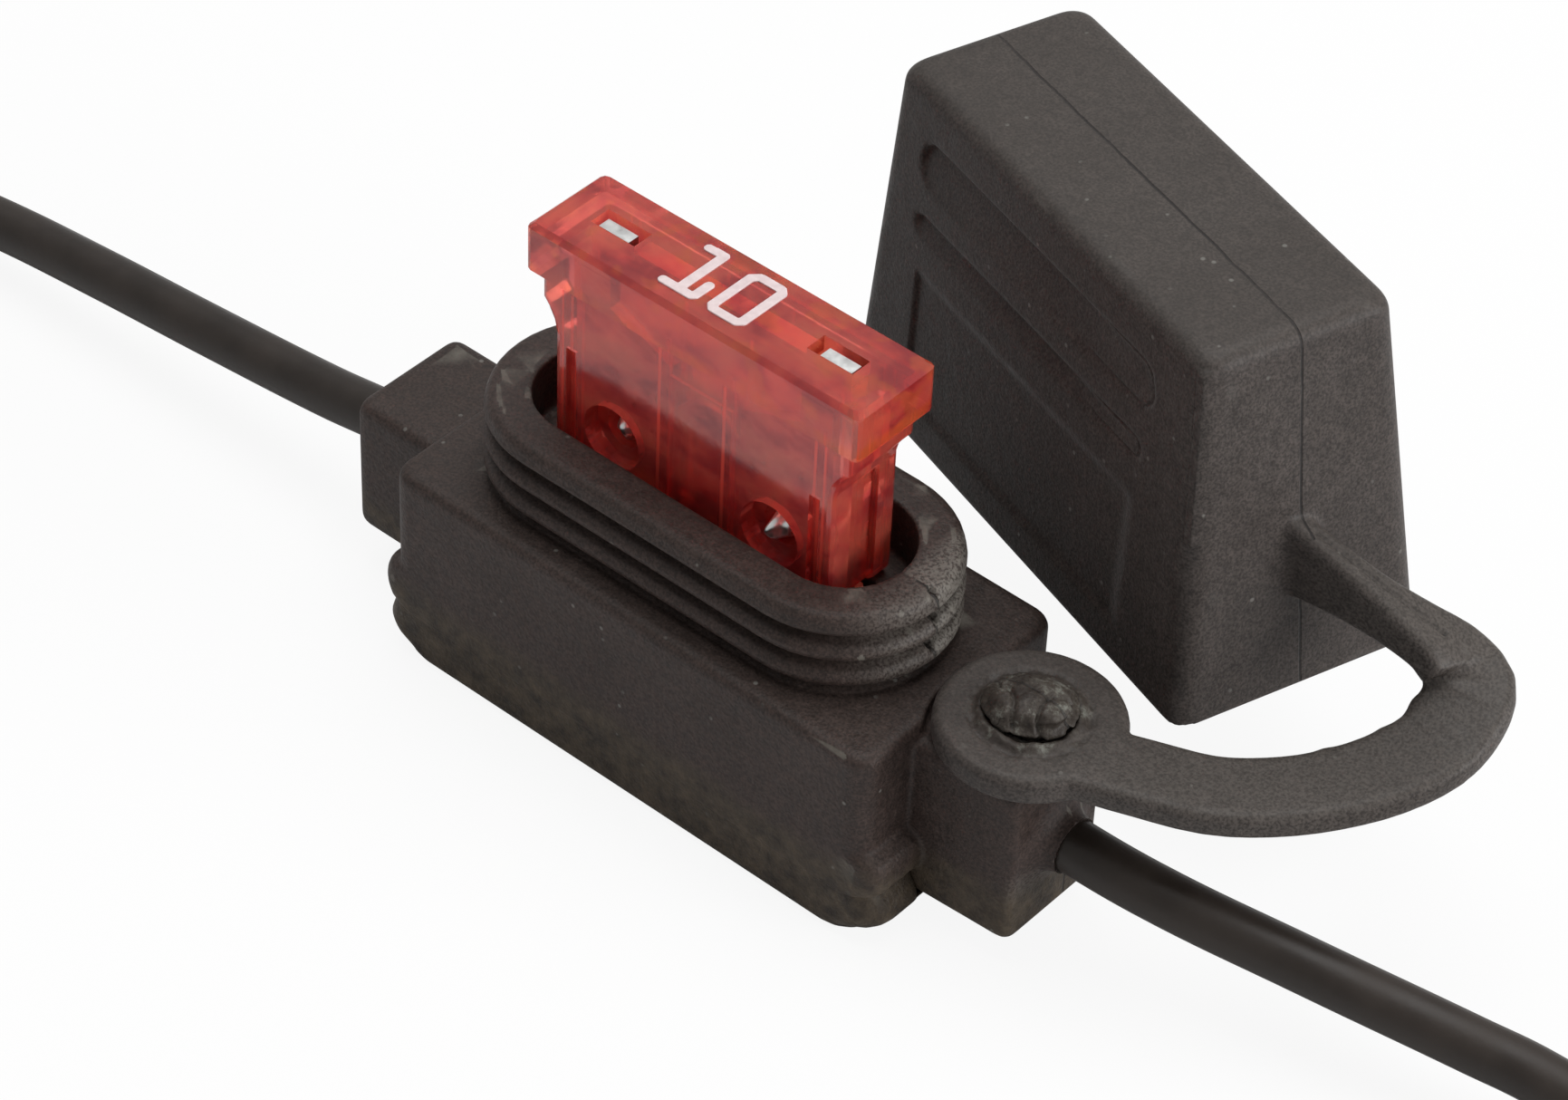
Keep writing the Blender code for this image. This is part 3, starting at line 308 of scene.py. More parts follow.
def lead(name, side, exit_x, route, coil, jacket):
    """One insulated wire on a smooth curve from its crimp to its bare end."""
    points = [(x, 0.0, LEAD_HEIGHT) for x in (side * LEAD_START, side * LEAD_STRAIGHT, exit_x)]
    points += route
    points += coil_points(coil)
    curve = bpy.data.curves.new(name, "CURVE")
    curve.dimensions = "3D"
    curve.bevel_depth = LEAD_DIAMETER / 2
    curve.bevel_resolution = 6
    curve.resolution_u = 8
    curve.use_fill_caps = True
    spline = curve.splines.new("BEZIER")
    spline.bezier_points.add(len(points) - 1)
    for knot, point in zip(spline.bezier_points, points):
        knot.co = point
        knot.handle_left_type = "AUTO"
        knot.handle_right_type = "AUTO"
    curve.materials.append(jacket)
    made = bpy.data.objects.new(name, curve)
    bpy.context.scene.collection.objects.link(made)
    word = "left" if side < 0 else "right"
    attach(made, "holder")
    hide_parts(f"{word}_lead", f"{word}_lead_coil")
    return made


def strands(name, coil, copper):
    """Bare end of a lead: a bundle of twisted strands."""
    centre, start, sense, last = coil
    end = math.radians(start + sense * last)
    end += sense * math.atan2(BARE_END_HALF + BARE_END_GAP, BARE_END_RADIUS)
    across = Vector((math.cos(end), math.sin(end), 0.0))
    along = Vector((-math.sin(end), math.cos(end), 0.0)) * sense
    middle = Vector((centre[0], centre[1], COIL_MID)) + across * BARE_END_RADIUS
    up = Vector(UPWARD)
    places = [(0.0, 0.0)]
    for ring, count in STRAND_RINGS:
        places += [(ring, 2 * math.pi * index / count) for index in range(count)]
    shape = bmesh.new()
    for ring, first in places:
        rows = []
        for step in range(STRAND_STEPS + 1):
            share = step / STRAND_STEPS
            twist = first + STRAND_TWIST * share
            flare = ring * (1 + STRAND_FLARE * share)
            shorter = 1 - STRAND_UNEVEN * math.sin(first * 5) ** 2
            heart = middle + along * (share - 0.5) * 2 * BARE_END_HALF * shorter
            heart += across * flare * math.cos(twist) + up * flare * math.sin(twist)
            row = []
            for corner in range(STRAND_SIDES):
                angle = 2 * math.pi * corner / STRAND_SIDES
                offset = across * math.cos(angle) + up * math.sin(angle)
                row.append(shape.verts.new(heart + offset * STRAND_RADIUS))
            rows.append(row)
        for low, high in zip(rows, rows[1:]):
            for corner in range(STRAND_SIDES):
                after = (corner + 1) % STRAND_SIDES
                shape.faces.new((low[corner], low[after], high[after], high[corner]))
        shape.faces.new(rows[0])
        shape.faces.new(rows[-1])
    bmesh.ops.recalc_face_normals(shape, faces=shape.faces)
    made = new_mesh_object(name, shape, copper)
    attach(made, "holder")
    return made


def new_mesh_object(name, shape, finish):
    """Smooth-shaded object in the scene, made of a bmesh, which is freed."""
    mesh = bpy.data.meshes.new(name)
    shape.to_mesh(mesh)
    shape.free()
    mesh.shade_smooth()
    mesh.materials.append(finish)
    made = bpy.data.objects.new(name, mesh)
    bpy.context.scene.collection.objects.link(made)
    return made


def apply_modifiers(thing):
    """Turns a piece's modifiers into its own mesh."""
    graph = bpy.context.evaluated_depsgraph_get()
    mesh = bpy.data.meshes.new_from_object(thing.evaluated_get(graph))
    thing.modifiers.clear()
    thing.data = mesh


def cap_matrix():
    """Place and turn of the cap's own axes."""
    turn = Matrix.Rotation(math.radians(CAP_YAW), 4, "Z")
    turn = turn @ Matrix.Rotation(math.radians(CAP_PITCH), 4, "Y")
    turn = turn @ Matrix.Rotation(math.radians(CAP_ROLL), 4, "X")
    return Matrix.Translation(CAP_CENTRE) @ turn


def soft_copy(node, name, finish, voxel, smoothing, keep, change, place=None):
    """Copy of a CAD node with its edges rounded off as a moulding's are, then its fine forms added."""
    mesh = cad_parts[node].data.copy()
    mesh.name = name
    if place:
        mesh.transform(place.inverted())
    made = bpy.data.objects.new(name, mesh)
    bpy.context.scene.collection.objects.link(made)
    shape = bmesh.new()
    shape.from_mesh(mesh)
    bmesh.ops.remove_doubles(shape, verts=shape.verts, dist=1e-7)
    shape.to_mesh(mesh)
    shape.free()
    grid = made.modifiers.new("grid", "REMESH")
    grid.mode = "VOXEL"
    grid.voxel_size = voxel
    round_off = made.modifiers.new("round_off", "SMOOTH")
    round_off.factor = 0.5
    round_off.iterations = smoothing
    apply_modifiers(made)
    reshape(made, change)
    if place:
        made.data.transform(place)
    if keep < 1.0:
        thin_out = made.modifiers.new("thin_out", "DECIMATE")
        thin_out.ratio = keep
        apply_modifiers(made)
    made.data.materials.clear()
    made.data.materials.append(finish)
    made.data.shade_smooth()
    return made


def reshape(thing, change):
    """Moves a piece's points to where a function of their places and normals puts them."""
    mesh = thing.data
    places = np.empty(len(mesh.vertices) * 3, np.float32)
    mesh.vertices.foreach_get("co", places)
    normals = np.empty(len(mesh.vertices) * 3, np.float32)
    mesh.vertices.foreach_get("normal", normals)
    places = places.reshape(-1, 3).astype(float)
    places = change(places, normals.reshape(-1, 3).astype(float))
    mesh.vertices.foreach_set("co", places.astype(np.float32).ravel())
    mesh.update()


def lumps(places, chosen, scale, seed):
    """Noise between -1 and 1 at the chosen points, zero at the others."""
    values = np.zeros(len(places))
    for index in np.nonzero(chosen)[0]:
        values[index] = noise.noise(Vector(places[index] * scale) + Vector((seed, 0.0, 0.0)))
    return values


def fade(values, full, none):
    """One at full, zero at none, smooth in between."""
    share = np.clip((values - none) / (full - none), 0.0, 1.0)
    return share * share * (3 - 2 * share)


def draw_in(places, scale):
    """Scales the points' distances from the line of the leads' middles."""
    places[:, 1] *= scale
    places[:, 2] = LEAD_HEIGHT + (places[:, 2] - LEAD_HEIGHT) * scale


def close_boots(places):
    """Closes both boots on their leads, and tapers the neck of the right one."""
    away = np.hypot(places[:, 1], places[:, 2] - LEAD_HEIGHT)
    grip = fade(away, GRIP_FULL, GRIP_NONE) * (np.abs(places[:, 0]) > GRIP_FROM)
    draw_in(places, 1 - GRIP_DEPTH * grip / np.maximum(away, TINY))

    beyond = places[:, 0] - NECK_START
    neck = NECK_RADIUS + NECK_FLARE * np.exp(-np.maximum(beyond, 0.0) / NECK_TAPER)
    away = np.maximum(np.hypot(places[:, 1], places[:, 2] - LEAD_HEIGHT), TINY)
    draw_in(places, np.where(beyond > 0, np.minimum(away, neck) / away, 1.0))


def cut_collar(places, normals):
    """Deepens the grooves round the collar, and nicks its ribs at the mould's split."""
    bend = np.sign(places[:, 0]) * np.maximum(np.abs(places[:, 0]) - COLLAR_STRAIGHT, 0.0)
    reach = np.maximum(np.hypot(bend, places[:, 1]), TINY)
    outward = np.stack((bend, places[:, 1]), axis=1) / reach[:, None]
    wall = (reach > COLLAR_RADIUS - COLLAR_WALL) & (places[:, 2] > BLOCK_TOP + 0.0001)
    wall &= (normals[:, :2] * outward).sum(axis=1) > 0.05
    for middle in GROOVES:
        off = np.abs(places[:, 2] - middle)
        sink = GROOVE_DEPTH * fade(off, 0.0, GROOVE_HALF)
        sink -= LIP_HEIGHT * fade(np.abs(off - LIP_OFF), 0.0, LIP_HALF)
        places[:, :2] -= outward * (sink * wall)[:, None]
    for low, high, middle, depth in NICKS:
        at_end = (places[:, 0] > NICKS_FROM) & (places[:, 2] > low) & (places[:, 2] <= high) & wall
        lean = middle + NICK_LEAN * (places[:, 2] - low)
        bite = fade(np.abs(places[:, 1] - lean), 0.0, NICK_HALF) * at_end
        bite *= fade(places[:, 2], high, low + 0.0001)
        places -= normals * (bite * depth)[:, None]


def melt_stake(places, normals):
    """Spreads the stake's head over the eye and makes it lumpy and furrowed."""
    across = places[:, :2] - (POST_X, 0.0)
    reach = np.hypot(across[:, 0], across[:, 1])
    head = (reach < STAKE_REACH) & (places[:, 2] > EYE_TOP + 0.00015)
    angle = np.arctan2(across[:, 1], across[:, 0])
    swell = STAKE_SWELL + SKIRT_SWELL * fade(places[:, 2], EYE_TOP + 0.0002, EYE_TOP + 0.0009)
    for size, count, phase in STAKE_WAVES:
        swell = swell + size * np.sin(count * angle + phase)
    swell = 1 + head * swell
    places[:, 0] = POST_X + across[:, 0] * swell
    places[:, 1] = across[:, 1] * swell
    rough = sum(height * lumps(places, head, scale, seed) for height, scale, seed in STAKE_LUMPS)
    furrow = fade(np.abs(lumps(places, head, FURROW_SCALE, FURROW_SEED)), 0.0, FURROW_WIDTH) * head
    tilt = STAKE_TILT * head * (across[:, 0] - across[:, 1]) / STAKE_RADIUS
    rise = rough - FURROW_DEPTH * furrow + tilt
    places += normals * (rise * fade(places[:, 2], EYE_TOP + 0.0007, EYE_TOP + 0.0001))[:, None]


def settle_holder(places, normals):
    """Closes the boots, deepens and nicks the collar's ribs, and roughens the melted stake."""
    close_boots(places)
    cut_collar(places, normals)
    melt_stake(places, normals)
    return places


def settle_cover(places, normals):
    """Carries the cover's rim up into the block, down to a hairline, and closes the notches at its ends."""
    border = np.maximum(
        np.abs(places[:, 1]) - (HALF_WIDTH - RIM_WIDTH),
        np.abs(places[:, 0]) - (HALF_LENGTH - RIM_WIDTH),
    )
    lift = fade(places[:, 2], COVER_HEIGHT - 0.0002, COVER_HEIGHT - 0.0007) * (places[:, 2] < COVER_HEIGHT)
    lift *= border > 0
    places[:, 2] += RIM_LIFT * lift
    places[:, 1] = np.clip(places[:, 1], -HALF_WIDTH + SKIN, HALF_WIDTH - SKIN)
    side = np.abs(places[:, 1])
    notch = (np.abs(places[:, 0]) > NOTCH_FROM) & (places[:, 2] > NOTCH_FLOOR)
    closing = NOTCH_CLOSING * notch * fade(side, *NOTCH_FADE) * (side > NOTCH_SIDE)
    places[:, 1] -= np.sign(places[:, 1]) * closing
    snug = (places[:, 2] > NOTCH_FLOOR) & (np.abs(places[:, 1]) > HALF_WIDTH - SNUG_WIDTH)
    snug &= np.abs(places[:, 0]) < HALF_LENGTH - SNUG_END
    places[:, 1] = np.where(snug, np.sign(places[:, 1]) * (HALF_WIDTH - SKIN), places[:, 1])
    return places


def shape_near_face(places, normals):
    """Sinks the faint field on the cap's near face, and runs the finger recesses out to the right."""
    height = places[:, 2]
    face = (CAP_MOUTH_WIDTH + height / CAP_HEIGHT * (CAP_TOP_WIDTH - CAP_MOUTH_WIDTH)) / 2
    near = fade(np.abs(places[:, 1] + face), 0.0002, 0.0005) * (normals[:, 1] < -0.5)
    field = fade(places[:, 0], *FIELD_LEFT) * fade(places[:, 0], *FIELD_RIGHT)
    field *= fade(height, *FIELD_LOW) * fade(height, *FIELD_HIGH)
    places[:, 1] += FIELD_DEPTH * field * near
    sunk = places[:, 1] + face
    recess = (sunk > RECESS_DEPTHS[0]) & (sunk < RECESS_DEPTHS[1]) & (normals[:, 1] < -0.3)
    recess &= (height > RECESS_HEIGHTS[0]) & (height < RECESS_HEIGHTS[1])
    places[:, 1] -= recess * sunk * RECESS_FILLED * fade(places[:, 0], *RECESS_RUN)


def mark_tether(places, normals):
    """Adds the web's flash and groove, and wears the rim of the eye down."""
    for x, y, size in FLASH:
        off = (places[:, 0] - x) ** 2 + (places[:, 1] - y) ** 2
        swell = np.exp(-off / FLASH_WIDTH ** 2) * (np.abs(normals[:, 2]) < 0.8)
        swell *= (places[:, 2] > WEB_HEIGHTS[0]) & (places[:, 2] < WEB_HEIGHTS[1])
        places[:, :2] += normals[:, :2] * (size * swell)[:, None]
    for start, end in zip(WEB_LINE, WEB_LINE[1:]):
        start = np.array(start)
        step = np.array(end) - start
        share = np.clip(((places[:, :2] - start) @ step) / (step @ step), 0.0, 1.0)
        off = np.linalg.norm(places[:, :2] - start - share[:, None] * step, axis=1)
        groove = fade(off, 0.00002, WEB_GROOVE_HALF) * (normals[:, 2] > 0.5)
        groove *= (share > 0) & (share < 1) & (places[:, 2] > WEB_HEIGHTS[1])
        places[:, 2] -= WEB_GROOVE_DEPTH * groove
    reach = np.hypot(places[:, 0] - POST_X, places[:, 1])
    rim = (reach < RIM_REACH) & (places[:, 2] > EYE_TOP - 0.0002) & (places[:, 2] < EYE_TOP + 0.0006)
    wear = RIM_RISE * rim
    for depth, scale, seed in RIM_WEAR:
        wear = wear - depth * lumps(places, rim, scale, seed)
    places[:, 2] -= np.maximum(wear, 0.0)


def settle_cap(places, normals):
    """Shapes the cap's near face in the cap's own axes, then marks the tether in the frame's."""
    shape_near_face(places, normals)
    place = np.array(cap_matrix())
    world = places @ place[:3, :3].T + place[:3, 3]
    mark_tether(world, normals @ place[:3, :3].T)
    back = np.linalg.inv(place)
    return world @ back[:3, :3].T + back[:3, 3]


# Rubber: what lies on it and marks it, with dust that doubles as painted light on up-facing tops, paler
# patches that are partly painted highlight and a painted shadow in its mould lines, its gloss, and the
# scales of its grain in cells per metre
DUST_AND_TOP_LIGHT = (0.074, 0.066, 0.058)
PALE_DUST_AND_HIGHLIGHT = (0.180, 0.168, 0.148)
SPECK = (0.23, 0.225, 0.205)
LINE_SHADOW = (0.010, 0.009, 0.009)
LINE_STRENGTH = 0.82
STAIN_STOPS = ((0.36, (0.016, 0.012, 0.008)), (0.66, (0.098, 0.074, 0.048)))
STAIN_STRENGTH = 0.75
SCUFF_STOPS = (
    (0.42, (0.018, 0.013, 0.010)),
    (0.54, (0.044, 0.036, 0.029)),
    (0.66, (0.165, 0.168, 0.145)),
)
SCUFF_STRENGTH = 0.85
RUBBER_SHINE = 0.22
RUBBER_ROUGHNESS = (0.44, 0.60)
CLOUD_SCALE = 160.0
MOTTLE_SCALE = 1500.0
PEPPER_SCALE = 7500.0
MARK_SCALE = 900.0
FINE_SCALE = 5200.0

# Mould lines: direction across, a point on the line, and the directions and places in which it ends
SPLIT = (AWAY, (0.0, -0.00004, 0.0), ((RIGHTWARD, (0.0112, 0.0, 0.0)), (UPWARD, (0.0, 0.0, 0.0116))))
TAB = (AWAY, (0.0, 0.0009, 0.0), ((RIGHTWARD, (0.0191, 0.0, 0.0)), (DOWNWARD, (0.0, 0.0, 0.0034))))
PARTING_FROM = (0.0146, 0.0, 0.0)

# Paler patches, at the collar's round end and past its notches partly dust and partly painted highlight, at
# the right boot's end painted light: strength, then direction, start and width of each edge
OVER_BLOCK = (UPWARD, (0.0, 0.0, 0.0113), 0.0004)
LIT_PAST_NOTCHES = (
    0.62,
    (
        (RIGHTWARD, (0.0101, 0.0, 0.0), 0.0010),
        (AWAY, (0.0, -0.00012, 0.0), 0.00015),
        OVER_BLOCK,
    ),
)
LIT_ROUND_END = (
    0.36,
    (
        ((1.0, -0.25, 0.0), (0.0103, 0.0, 0.0), 0.0018),
        (AWAY, (0.0, -0.0046, 0.0), 0.0030),
        OVER_BLOCK,
    ),
)
LIT_BOOT_END = (
    0.32,
    (
        (RIGHTWARD, (0.0194, 0.0, 0.0), 0.0003),
        (DOWNWARD, (0.0, 0.0, 0.0060), 0.0016),
    ),
)
# Strap paler towards its far end: partly its own tone, partly painted sheen
STRAP_SHEEN_STRENGTH = 0.13
STRAP_FROM = (0.0128, 0.0, 0.0)
STRAP_WIDTH = 0.0060

# Fuse's plastic: red tones and depths painted darker and brighter as inner light and shade, a painted glint
# and a painted glint band with its depth, and the painted lighter upright lines where inner walls catch the
# light, by distance from the middle and half width
FUSE_TINT_LIGHT_AND_SHADE = (
    (0.38, (0.58, 0.062, 0.066)),
    (0.49, (0.86, 0.130, 0.105)),
    (0.60, (0.95, 0.190, 0.125)),
)
FUSE_GLINT = (1.0, 0.26, 0.06)
FUSE_RIM_GLINT = (1.0, 0.20, 0.06)
RIM_GLINT_DEPTH = 0.00225
FUSE_LIT_STREAK = (0.95, 0.110, 0.075)
FUSE_LIT_STREAKS = ((0.00188, 0.00014), (0.00705, 0.00012), (0.00760, 0.00010))
FUSE_CLEARNESS = 0.74
FUSE_REFRACTION = 1.54


def shader_of(name):
    """New material, with its node tree and its shader."""
    made = bpy.data.materials.new(name)
    made.use_nodes = True
    return made, made.node_tree, made.node_tree.nodes["Principled BSDF"]


def texture(tree, kind, scale, detail, coordinates, stretch=None, roughness=0.55):
    """Texture node in the object's own coordinates, counted per metre."""
    if coordinates is None:
        coordinates = tree.nodes.new("ShaderNodeTexCoord").outputs["Object"]
    if stretch:
        mapping = tree.nodes.new("ShaderNodeMapping")
        mapping.inputs["Scale"].default_value = stretch
        tree.links.new(coordinates, mapping.inputs["Vector"])
        coordinates = mapping.outputs["Vector"]
    made = tree.nodes.new(kind)
    made.inputs["Scale"].default_value = scale
    made.inputs["Detail"].default_value = detail
    made.inputs["Roughness"].default_value = roughness
    tree.links.new(coordinates, made.inputs["Vector"])
    return made


def clouds(tree, scale, detail, coordinates=None, **settings):
    """Noise value."""
    return texture(tree, "ShaderNodeTexNoise", scale, detail, coordinates, **settings).outputs["Fac"]


def cells(tree, scale, detail, coordinates=None):
    """Distance from the middles of scattered cells."""
    return texture(tree, "ShaderNodeTexVoronoi", scale, detail, coordinates).outputs["Distance"]


def ramp(tree, source, stops):
    """Colours or greys along a value: stops are (place, colour) pairs."""
    made = tree.nodes.new("ShaderNodeValToRGB")
    while len(made.color_ramp.elements) < len(stops):
        made.color_ramp.elements.new(0.5)
    for element, (place, colour) in zip(made.color_ramp.elements, stops):
        element.position = place
        if isinstance(colour, (int, float)):
            colour = (colour, colour, colour)
        element.color = (*colour, 1.0)
    tree.links.new(source, made.inputs["Fac"])
    return made.outputs["Color"]


def mix(tree, factor, first, second, blend="MIX"):
    """Blend of two colours, each a socket, a colour or a number."""
    made = tree.nodes.new("ShaderNodeMix")
    made.data_type = "RGBA"
    made.blend_type = blend
    sockets = (made.inputs["Factor"], made.inputs[6], made.inputs[7])
    for socket, value in zip(sockets, (factor, first, second)):
        if isinstance(value, bpy.types.NodeSocket):
            tree.links.new(value, socket)
        elif isinstance(value, (int, float)):
            socket.default_value = value
        else:
            socket.default_value = (*value, 1.0)
    return made.outputs[2]


def shade(tree, colour, source, stops):
    """Colour or mask times greys that follow a value."""
    return mix(tree, 1.0, colour, ramp(tree, source, stops), "MULTIPLY")


def bump(tree, height, strength, distance, normal=None):
    """Normal that follows a height, on top of another normal."""
    made = tree.nodes.new("ShaderNodeBump")
    made.inputs["Strength"].default_value = strength
    made.inputs["Distance"].default_value = distance
    tree.links.new(height, made.inputs["Height"])
    if normal:
        tree.links.new(normal, made.inputs["Normal"])
    return made.outputs["Normal"]


def calc(tree, operation, *values):
    """Math node on sockets or numbers."""
    made = tree.nodes.new("ShaderNodeMath")
    made.operation = operation
    for socket, value in zip(made.inputs, values):
        if isinstance(value, bpy.types.NodeSocket):
            tree.links.new(value, socket)
        else:
            socket.default_value = value
    return made.outputs[0]


def times(tree, first, second):
    """Product of two sockets or numbers."""
    return calc(tree, "MULTIPLY", first, second)


def soften(tree, value, full, none):
    """One at full, zero at none, smooth in between."""
    made = tree.nodes.new("ShaderNodeMapRange")
    made.interpolation_type = "SMOOTHSTEP"
    made.inputs["From Min"].default_value = none
    made.inputs["From Max"].default_value = full
    tree.links.new(value, made.inputs["Value"])
    return made.outputs["Result"]


def level(tree, coordinates, axis, start):
    """Distance along a direction from a point."""
    made = tree.nodes.new("ShaderNodeVectorMath")
    made.operation = "DOT_PRODUCT"
    made.inputs[1].default_value = axis
    tree.links.new(coordinates, made.inputs[0])
    return calc(tree, "SUBTRACT", made.outputs["Value"], Vector(axis).dot(Vector(start)))


def dust_and_highlight_patch(tree, here, colour, pepper, strength, limits):
    """Makes the rubber paler within some edges: partly dust, partly painted highlight."""
    where = strength
    for axis, start, width in limits:
        where = times(tree, where, soften(tree, level(tree, here, axis, start), width, 0.0))
    where = shade(tree, where, pepper, ((0.38, 0.15), (0.58, 1.0)))
    return mix(tree, where, colour, PALE_DUST_AND_HIGHLIGHT)


def stain(tree, here, colour, below):
    """Mottles the rubber below a wandering height."""
    wander = clouds(tree, 420.0, 3.0, here)
    height = calc(tree, "ADD", level(tree, here, UPWARD, ORIGIN), times(tree, wander, 0.0016))
    where = soften(tree, height, below - 0.0006, below + 0.0012)
    stains = ramp(tree, clouds(tree, MARK_SCALE, 6.0, here, roughness=0.75), STAIN_STOPS)
    return mix(tree, times(tree, where, STAIN_STRENGTH), colour, stains)


def scuff_eye(tree, here, colour):
    """Scratches the top of the eye, round the post."""
    radial = tree.nodes.new("ShaderNodeVectorMath")
    radial.operation = "DISTANCE"
    radial.inputs[1].default_value = (POST_X, 0.0, EYE_TOP + 0.0004)
    tree.links.new(here, radial.inputs[0])
    where = soften(tree, radial.outputs["Value"], 0.0021, 0.0031)
    height = level(tree, here, UPWARD, ORIGIN)
    where = times(tree, where, soften(tree, height, EYE_TOP + 0.0001, EYE_TOP - 0.0004))
    marks = ramp(tree, clouds(tree, MARK_SCALE, 6.0, here, roughness=0.8), SCUFF_STOPS)
    return mix(tree, times(tree, where, SCUFF_STRENGTH), colour, marks)


def mould_line(tree, here, cloud, axis, start, limits):
    """Mask of a thin, slightly wavy and broken line."""
    waves = calc(tree, "SUBTRACT", clouds(tree, 380.0, 3.0, here), 0.5)
    off = calc(tree, "ADD", level(tree, here, axis, start), times(tree, waves, 0.0003))
    line = soften(tree, calc(tree, "ABSOLUTE", off), 0.00003, 0.00009)
    for limit_axis, limit_start in limits:
        line = times(tree, line, soften(tree, level(tree, here, limit_axis, limit_start), 0.0001, 0.0))
    return times(tree, line, ramp(tree, cloud, ((0.35, 0.55), (0.55, 0.95))))


def rubber(name, dark, light, edge_wear_and_highlight, grain, top_dust_and_light, wear=1.0, lines=(), pale=(), below=None, scuffed=False):
    """Moulded rubber: uneven tone, fine grain, worn edges that double as painted highlights, dust that
    doubles as painted top light, painted shade in hollows, pale patches, mould lines and scuffs.
    """
    made, tree, shader = shader_of(name)
    here = tree.nodes.new("ShaderNodeTexCoord").outputs["Object"]
    cloud = clouds(tree, CLOUD_SCALE, 4.0, here)
    mottle = clouds(tree, MOTTLE_SCALE, 5.0, here)
    pepper = clouds(tree, PEPPER_SCALE, 2.0, here)
    colour = ramp(tree, cloud, ((0.30, dark), (0.70, light)))
    colour = shade(tree, colour, mottle, ((0.32, 0.80), (0.68, 1.18)))
    colour = shade(tree, colour, pepper, ((0.36, 0.64), (0.64, 1.42)))

    point = tree.nodes.new("ShaderNodeNewGeometry")
    up = tree.nodes.new("ShaderNodeSeparateXYZ")
    tree.links.new(point.outputs["Normal"], up.inputs[0])
    # Up-facing tops paler: settled dust and painted light from above
    facing_up = soften(tree, up.outputs["Z"], 0.95, 0.35)
    colour = mix(tree, times(tree, facing_up, top_dust_and_light), colour, DUST_AND_TOP_LIGHT)
    # Pale convex edges: partly wear, partly painted highlight on crests
    worn_and_lit_edges = ramp(tree, point.outputs["Pointiness"], ((0.53, 0.0), (0.60, 1.0)))
    worn_and_lit_edges = shade(tree, worn_and_lit_edges, mottle, ((0.30, 0.20 * wear), (0.65, 0.80 * wear)))
    colour = mix(tree, worn_and_lit_edges, colour, edge_wear_and_highlight)
    # Painted shade in hollows: darker where the surface is concave
    colour = shade(tree, colour, point.outputs["Pointiness"], ((0.41, 0.48), (0.48, 1.0)))

    # Pale patches: partly dust, partly painted highlight
    for strength, limits in pale:
        colour = dust_and_highlight_patch(tree, here, colour, pepper, strength, limits)
    if below:
        colour = stain(tree, here, colour, below)
    if scuffed:
        colour = scuff_eye(tree, here, colour)
    dents = None
    for axis, start, limits in lines:
        line = mould_line(tree, here, cloud, axis, start, limits)
        colour = mix(tree, times(tree, line, LINE_STRENGTH), colour, LINE_SHADOW)
        dents = line if dents is None else calc(tree, "MAXIMUM", dents, line)
    specks = ramp(tree, cells(tree, 900.0, 0.0, here), ((0.07, 1.0), (0.12, 0.0)))
    specks = shade(tree, specks, clouds(tree, 500.0, 2.0, here), ((0.52, 0.0), (0.62, 0.55)))
    colour = mix(tree, specks, colour, SPECK)
    tree.links.new(colour, shader.inputs["Base Color"])

    smooth, dull = RUBBER_ROUGHNESS
    tree.links.new(ramp(tree, mottle, ((0.25, smooth), (0.75, dull))), shader.inputs["Roughness"])
    normal = bump(tree, clouds(tree, MOTTLE_SCALE, 3.0, here), 0.35 * grain, 0.00012)
    normal = bump(tree, clouds(tree, FINE_SCALE, 3.0, here), 0.60 * grain, 0.00007, normal)
    if dents is not None:
        normal = bump(tree, calc(tree, "SUBTRACT", 1.0, dents), 0.6, 0.00008, normal)
    tree.links.new(normal, shader.inputs["Normal"])
    shader.inputs["Specular IOR Level"].default_value = RUBBER_SHINE
    return made


def jacket_material():
    """Satin jacket of the leads, with a few pale specks."""
    made, tree, shader = shader_of("lead_jacket")
    cloud = clouds(tree, 300.0, 3.0)
    colour = ramp(tree, cloud, ((0.3, (0.018, 0.0130, 0.0100)), (0.7, (0.031, 0.0235, 0.0190))))
    specks = ramp(tree, cells(tree, 1400.0, 3.0), ((0.04, 1.0), (0.09, 0.0)))
    specks = shade(tree, specks, clouds(tree, 300.0, 2.0), ((0.62, 0.0), (0.70, 0.7)))
    colour = mix(tree, specks, colour, (0.20, 0.22, 0.22))
    tree.links.new(colour, shader.inputs["Base Color"])
    tree.links.new(ramp(tree, cloud, ((0.3, 0.40), (0.7, 0.54))), shader.inputs["Roughness"])
    tree.links.new(bump(tree, clouds(tree, 2600.0, 3.0), 0.25, 0.00004), shader.inputs["Normal"])
    shader.inputs["Specular IOR Level"].default_value = 0.3
    return made


def grained(name, dark, light, rough, scale, strength, metallic):
    """Metal or plain plastic whose tone, gloss and relief follow one fine grain."""
    made, tree, shader = shader_of(name)
    grain = clouds(tree, scale, 4.0)
    tree.links.new(ramp(tree, grain, ((0.3, dark), (0.7, light))), shader.inputs["Base Color"])
    tree.links.new(ramp(tree, grain, ((0.3, rough[0]), (0.7, rough[1]))), shader.inputs["Roughness"])
    tree.links.new(bump(tree, grain, strength, 0.00003), shader.inputs["Normal"])
    shader.inputs["Metallic"].default_value = metallic
    return made


def metal(name, dark, light, rough, scale):
    """Dull metal."""
    return grained(name, dark, light, rough, scale, 0.25, 1.0)


def plain_plastic(name, dark, light, rough, scale):
    """Plastic of one tone."""
    return grained(name, dark, light, rough, scale, 0.2, 0.0)


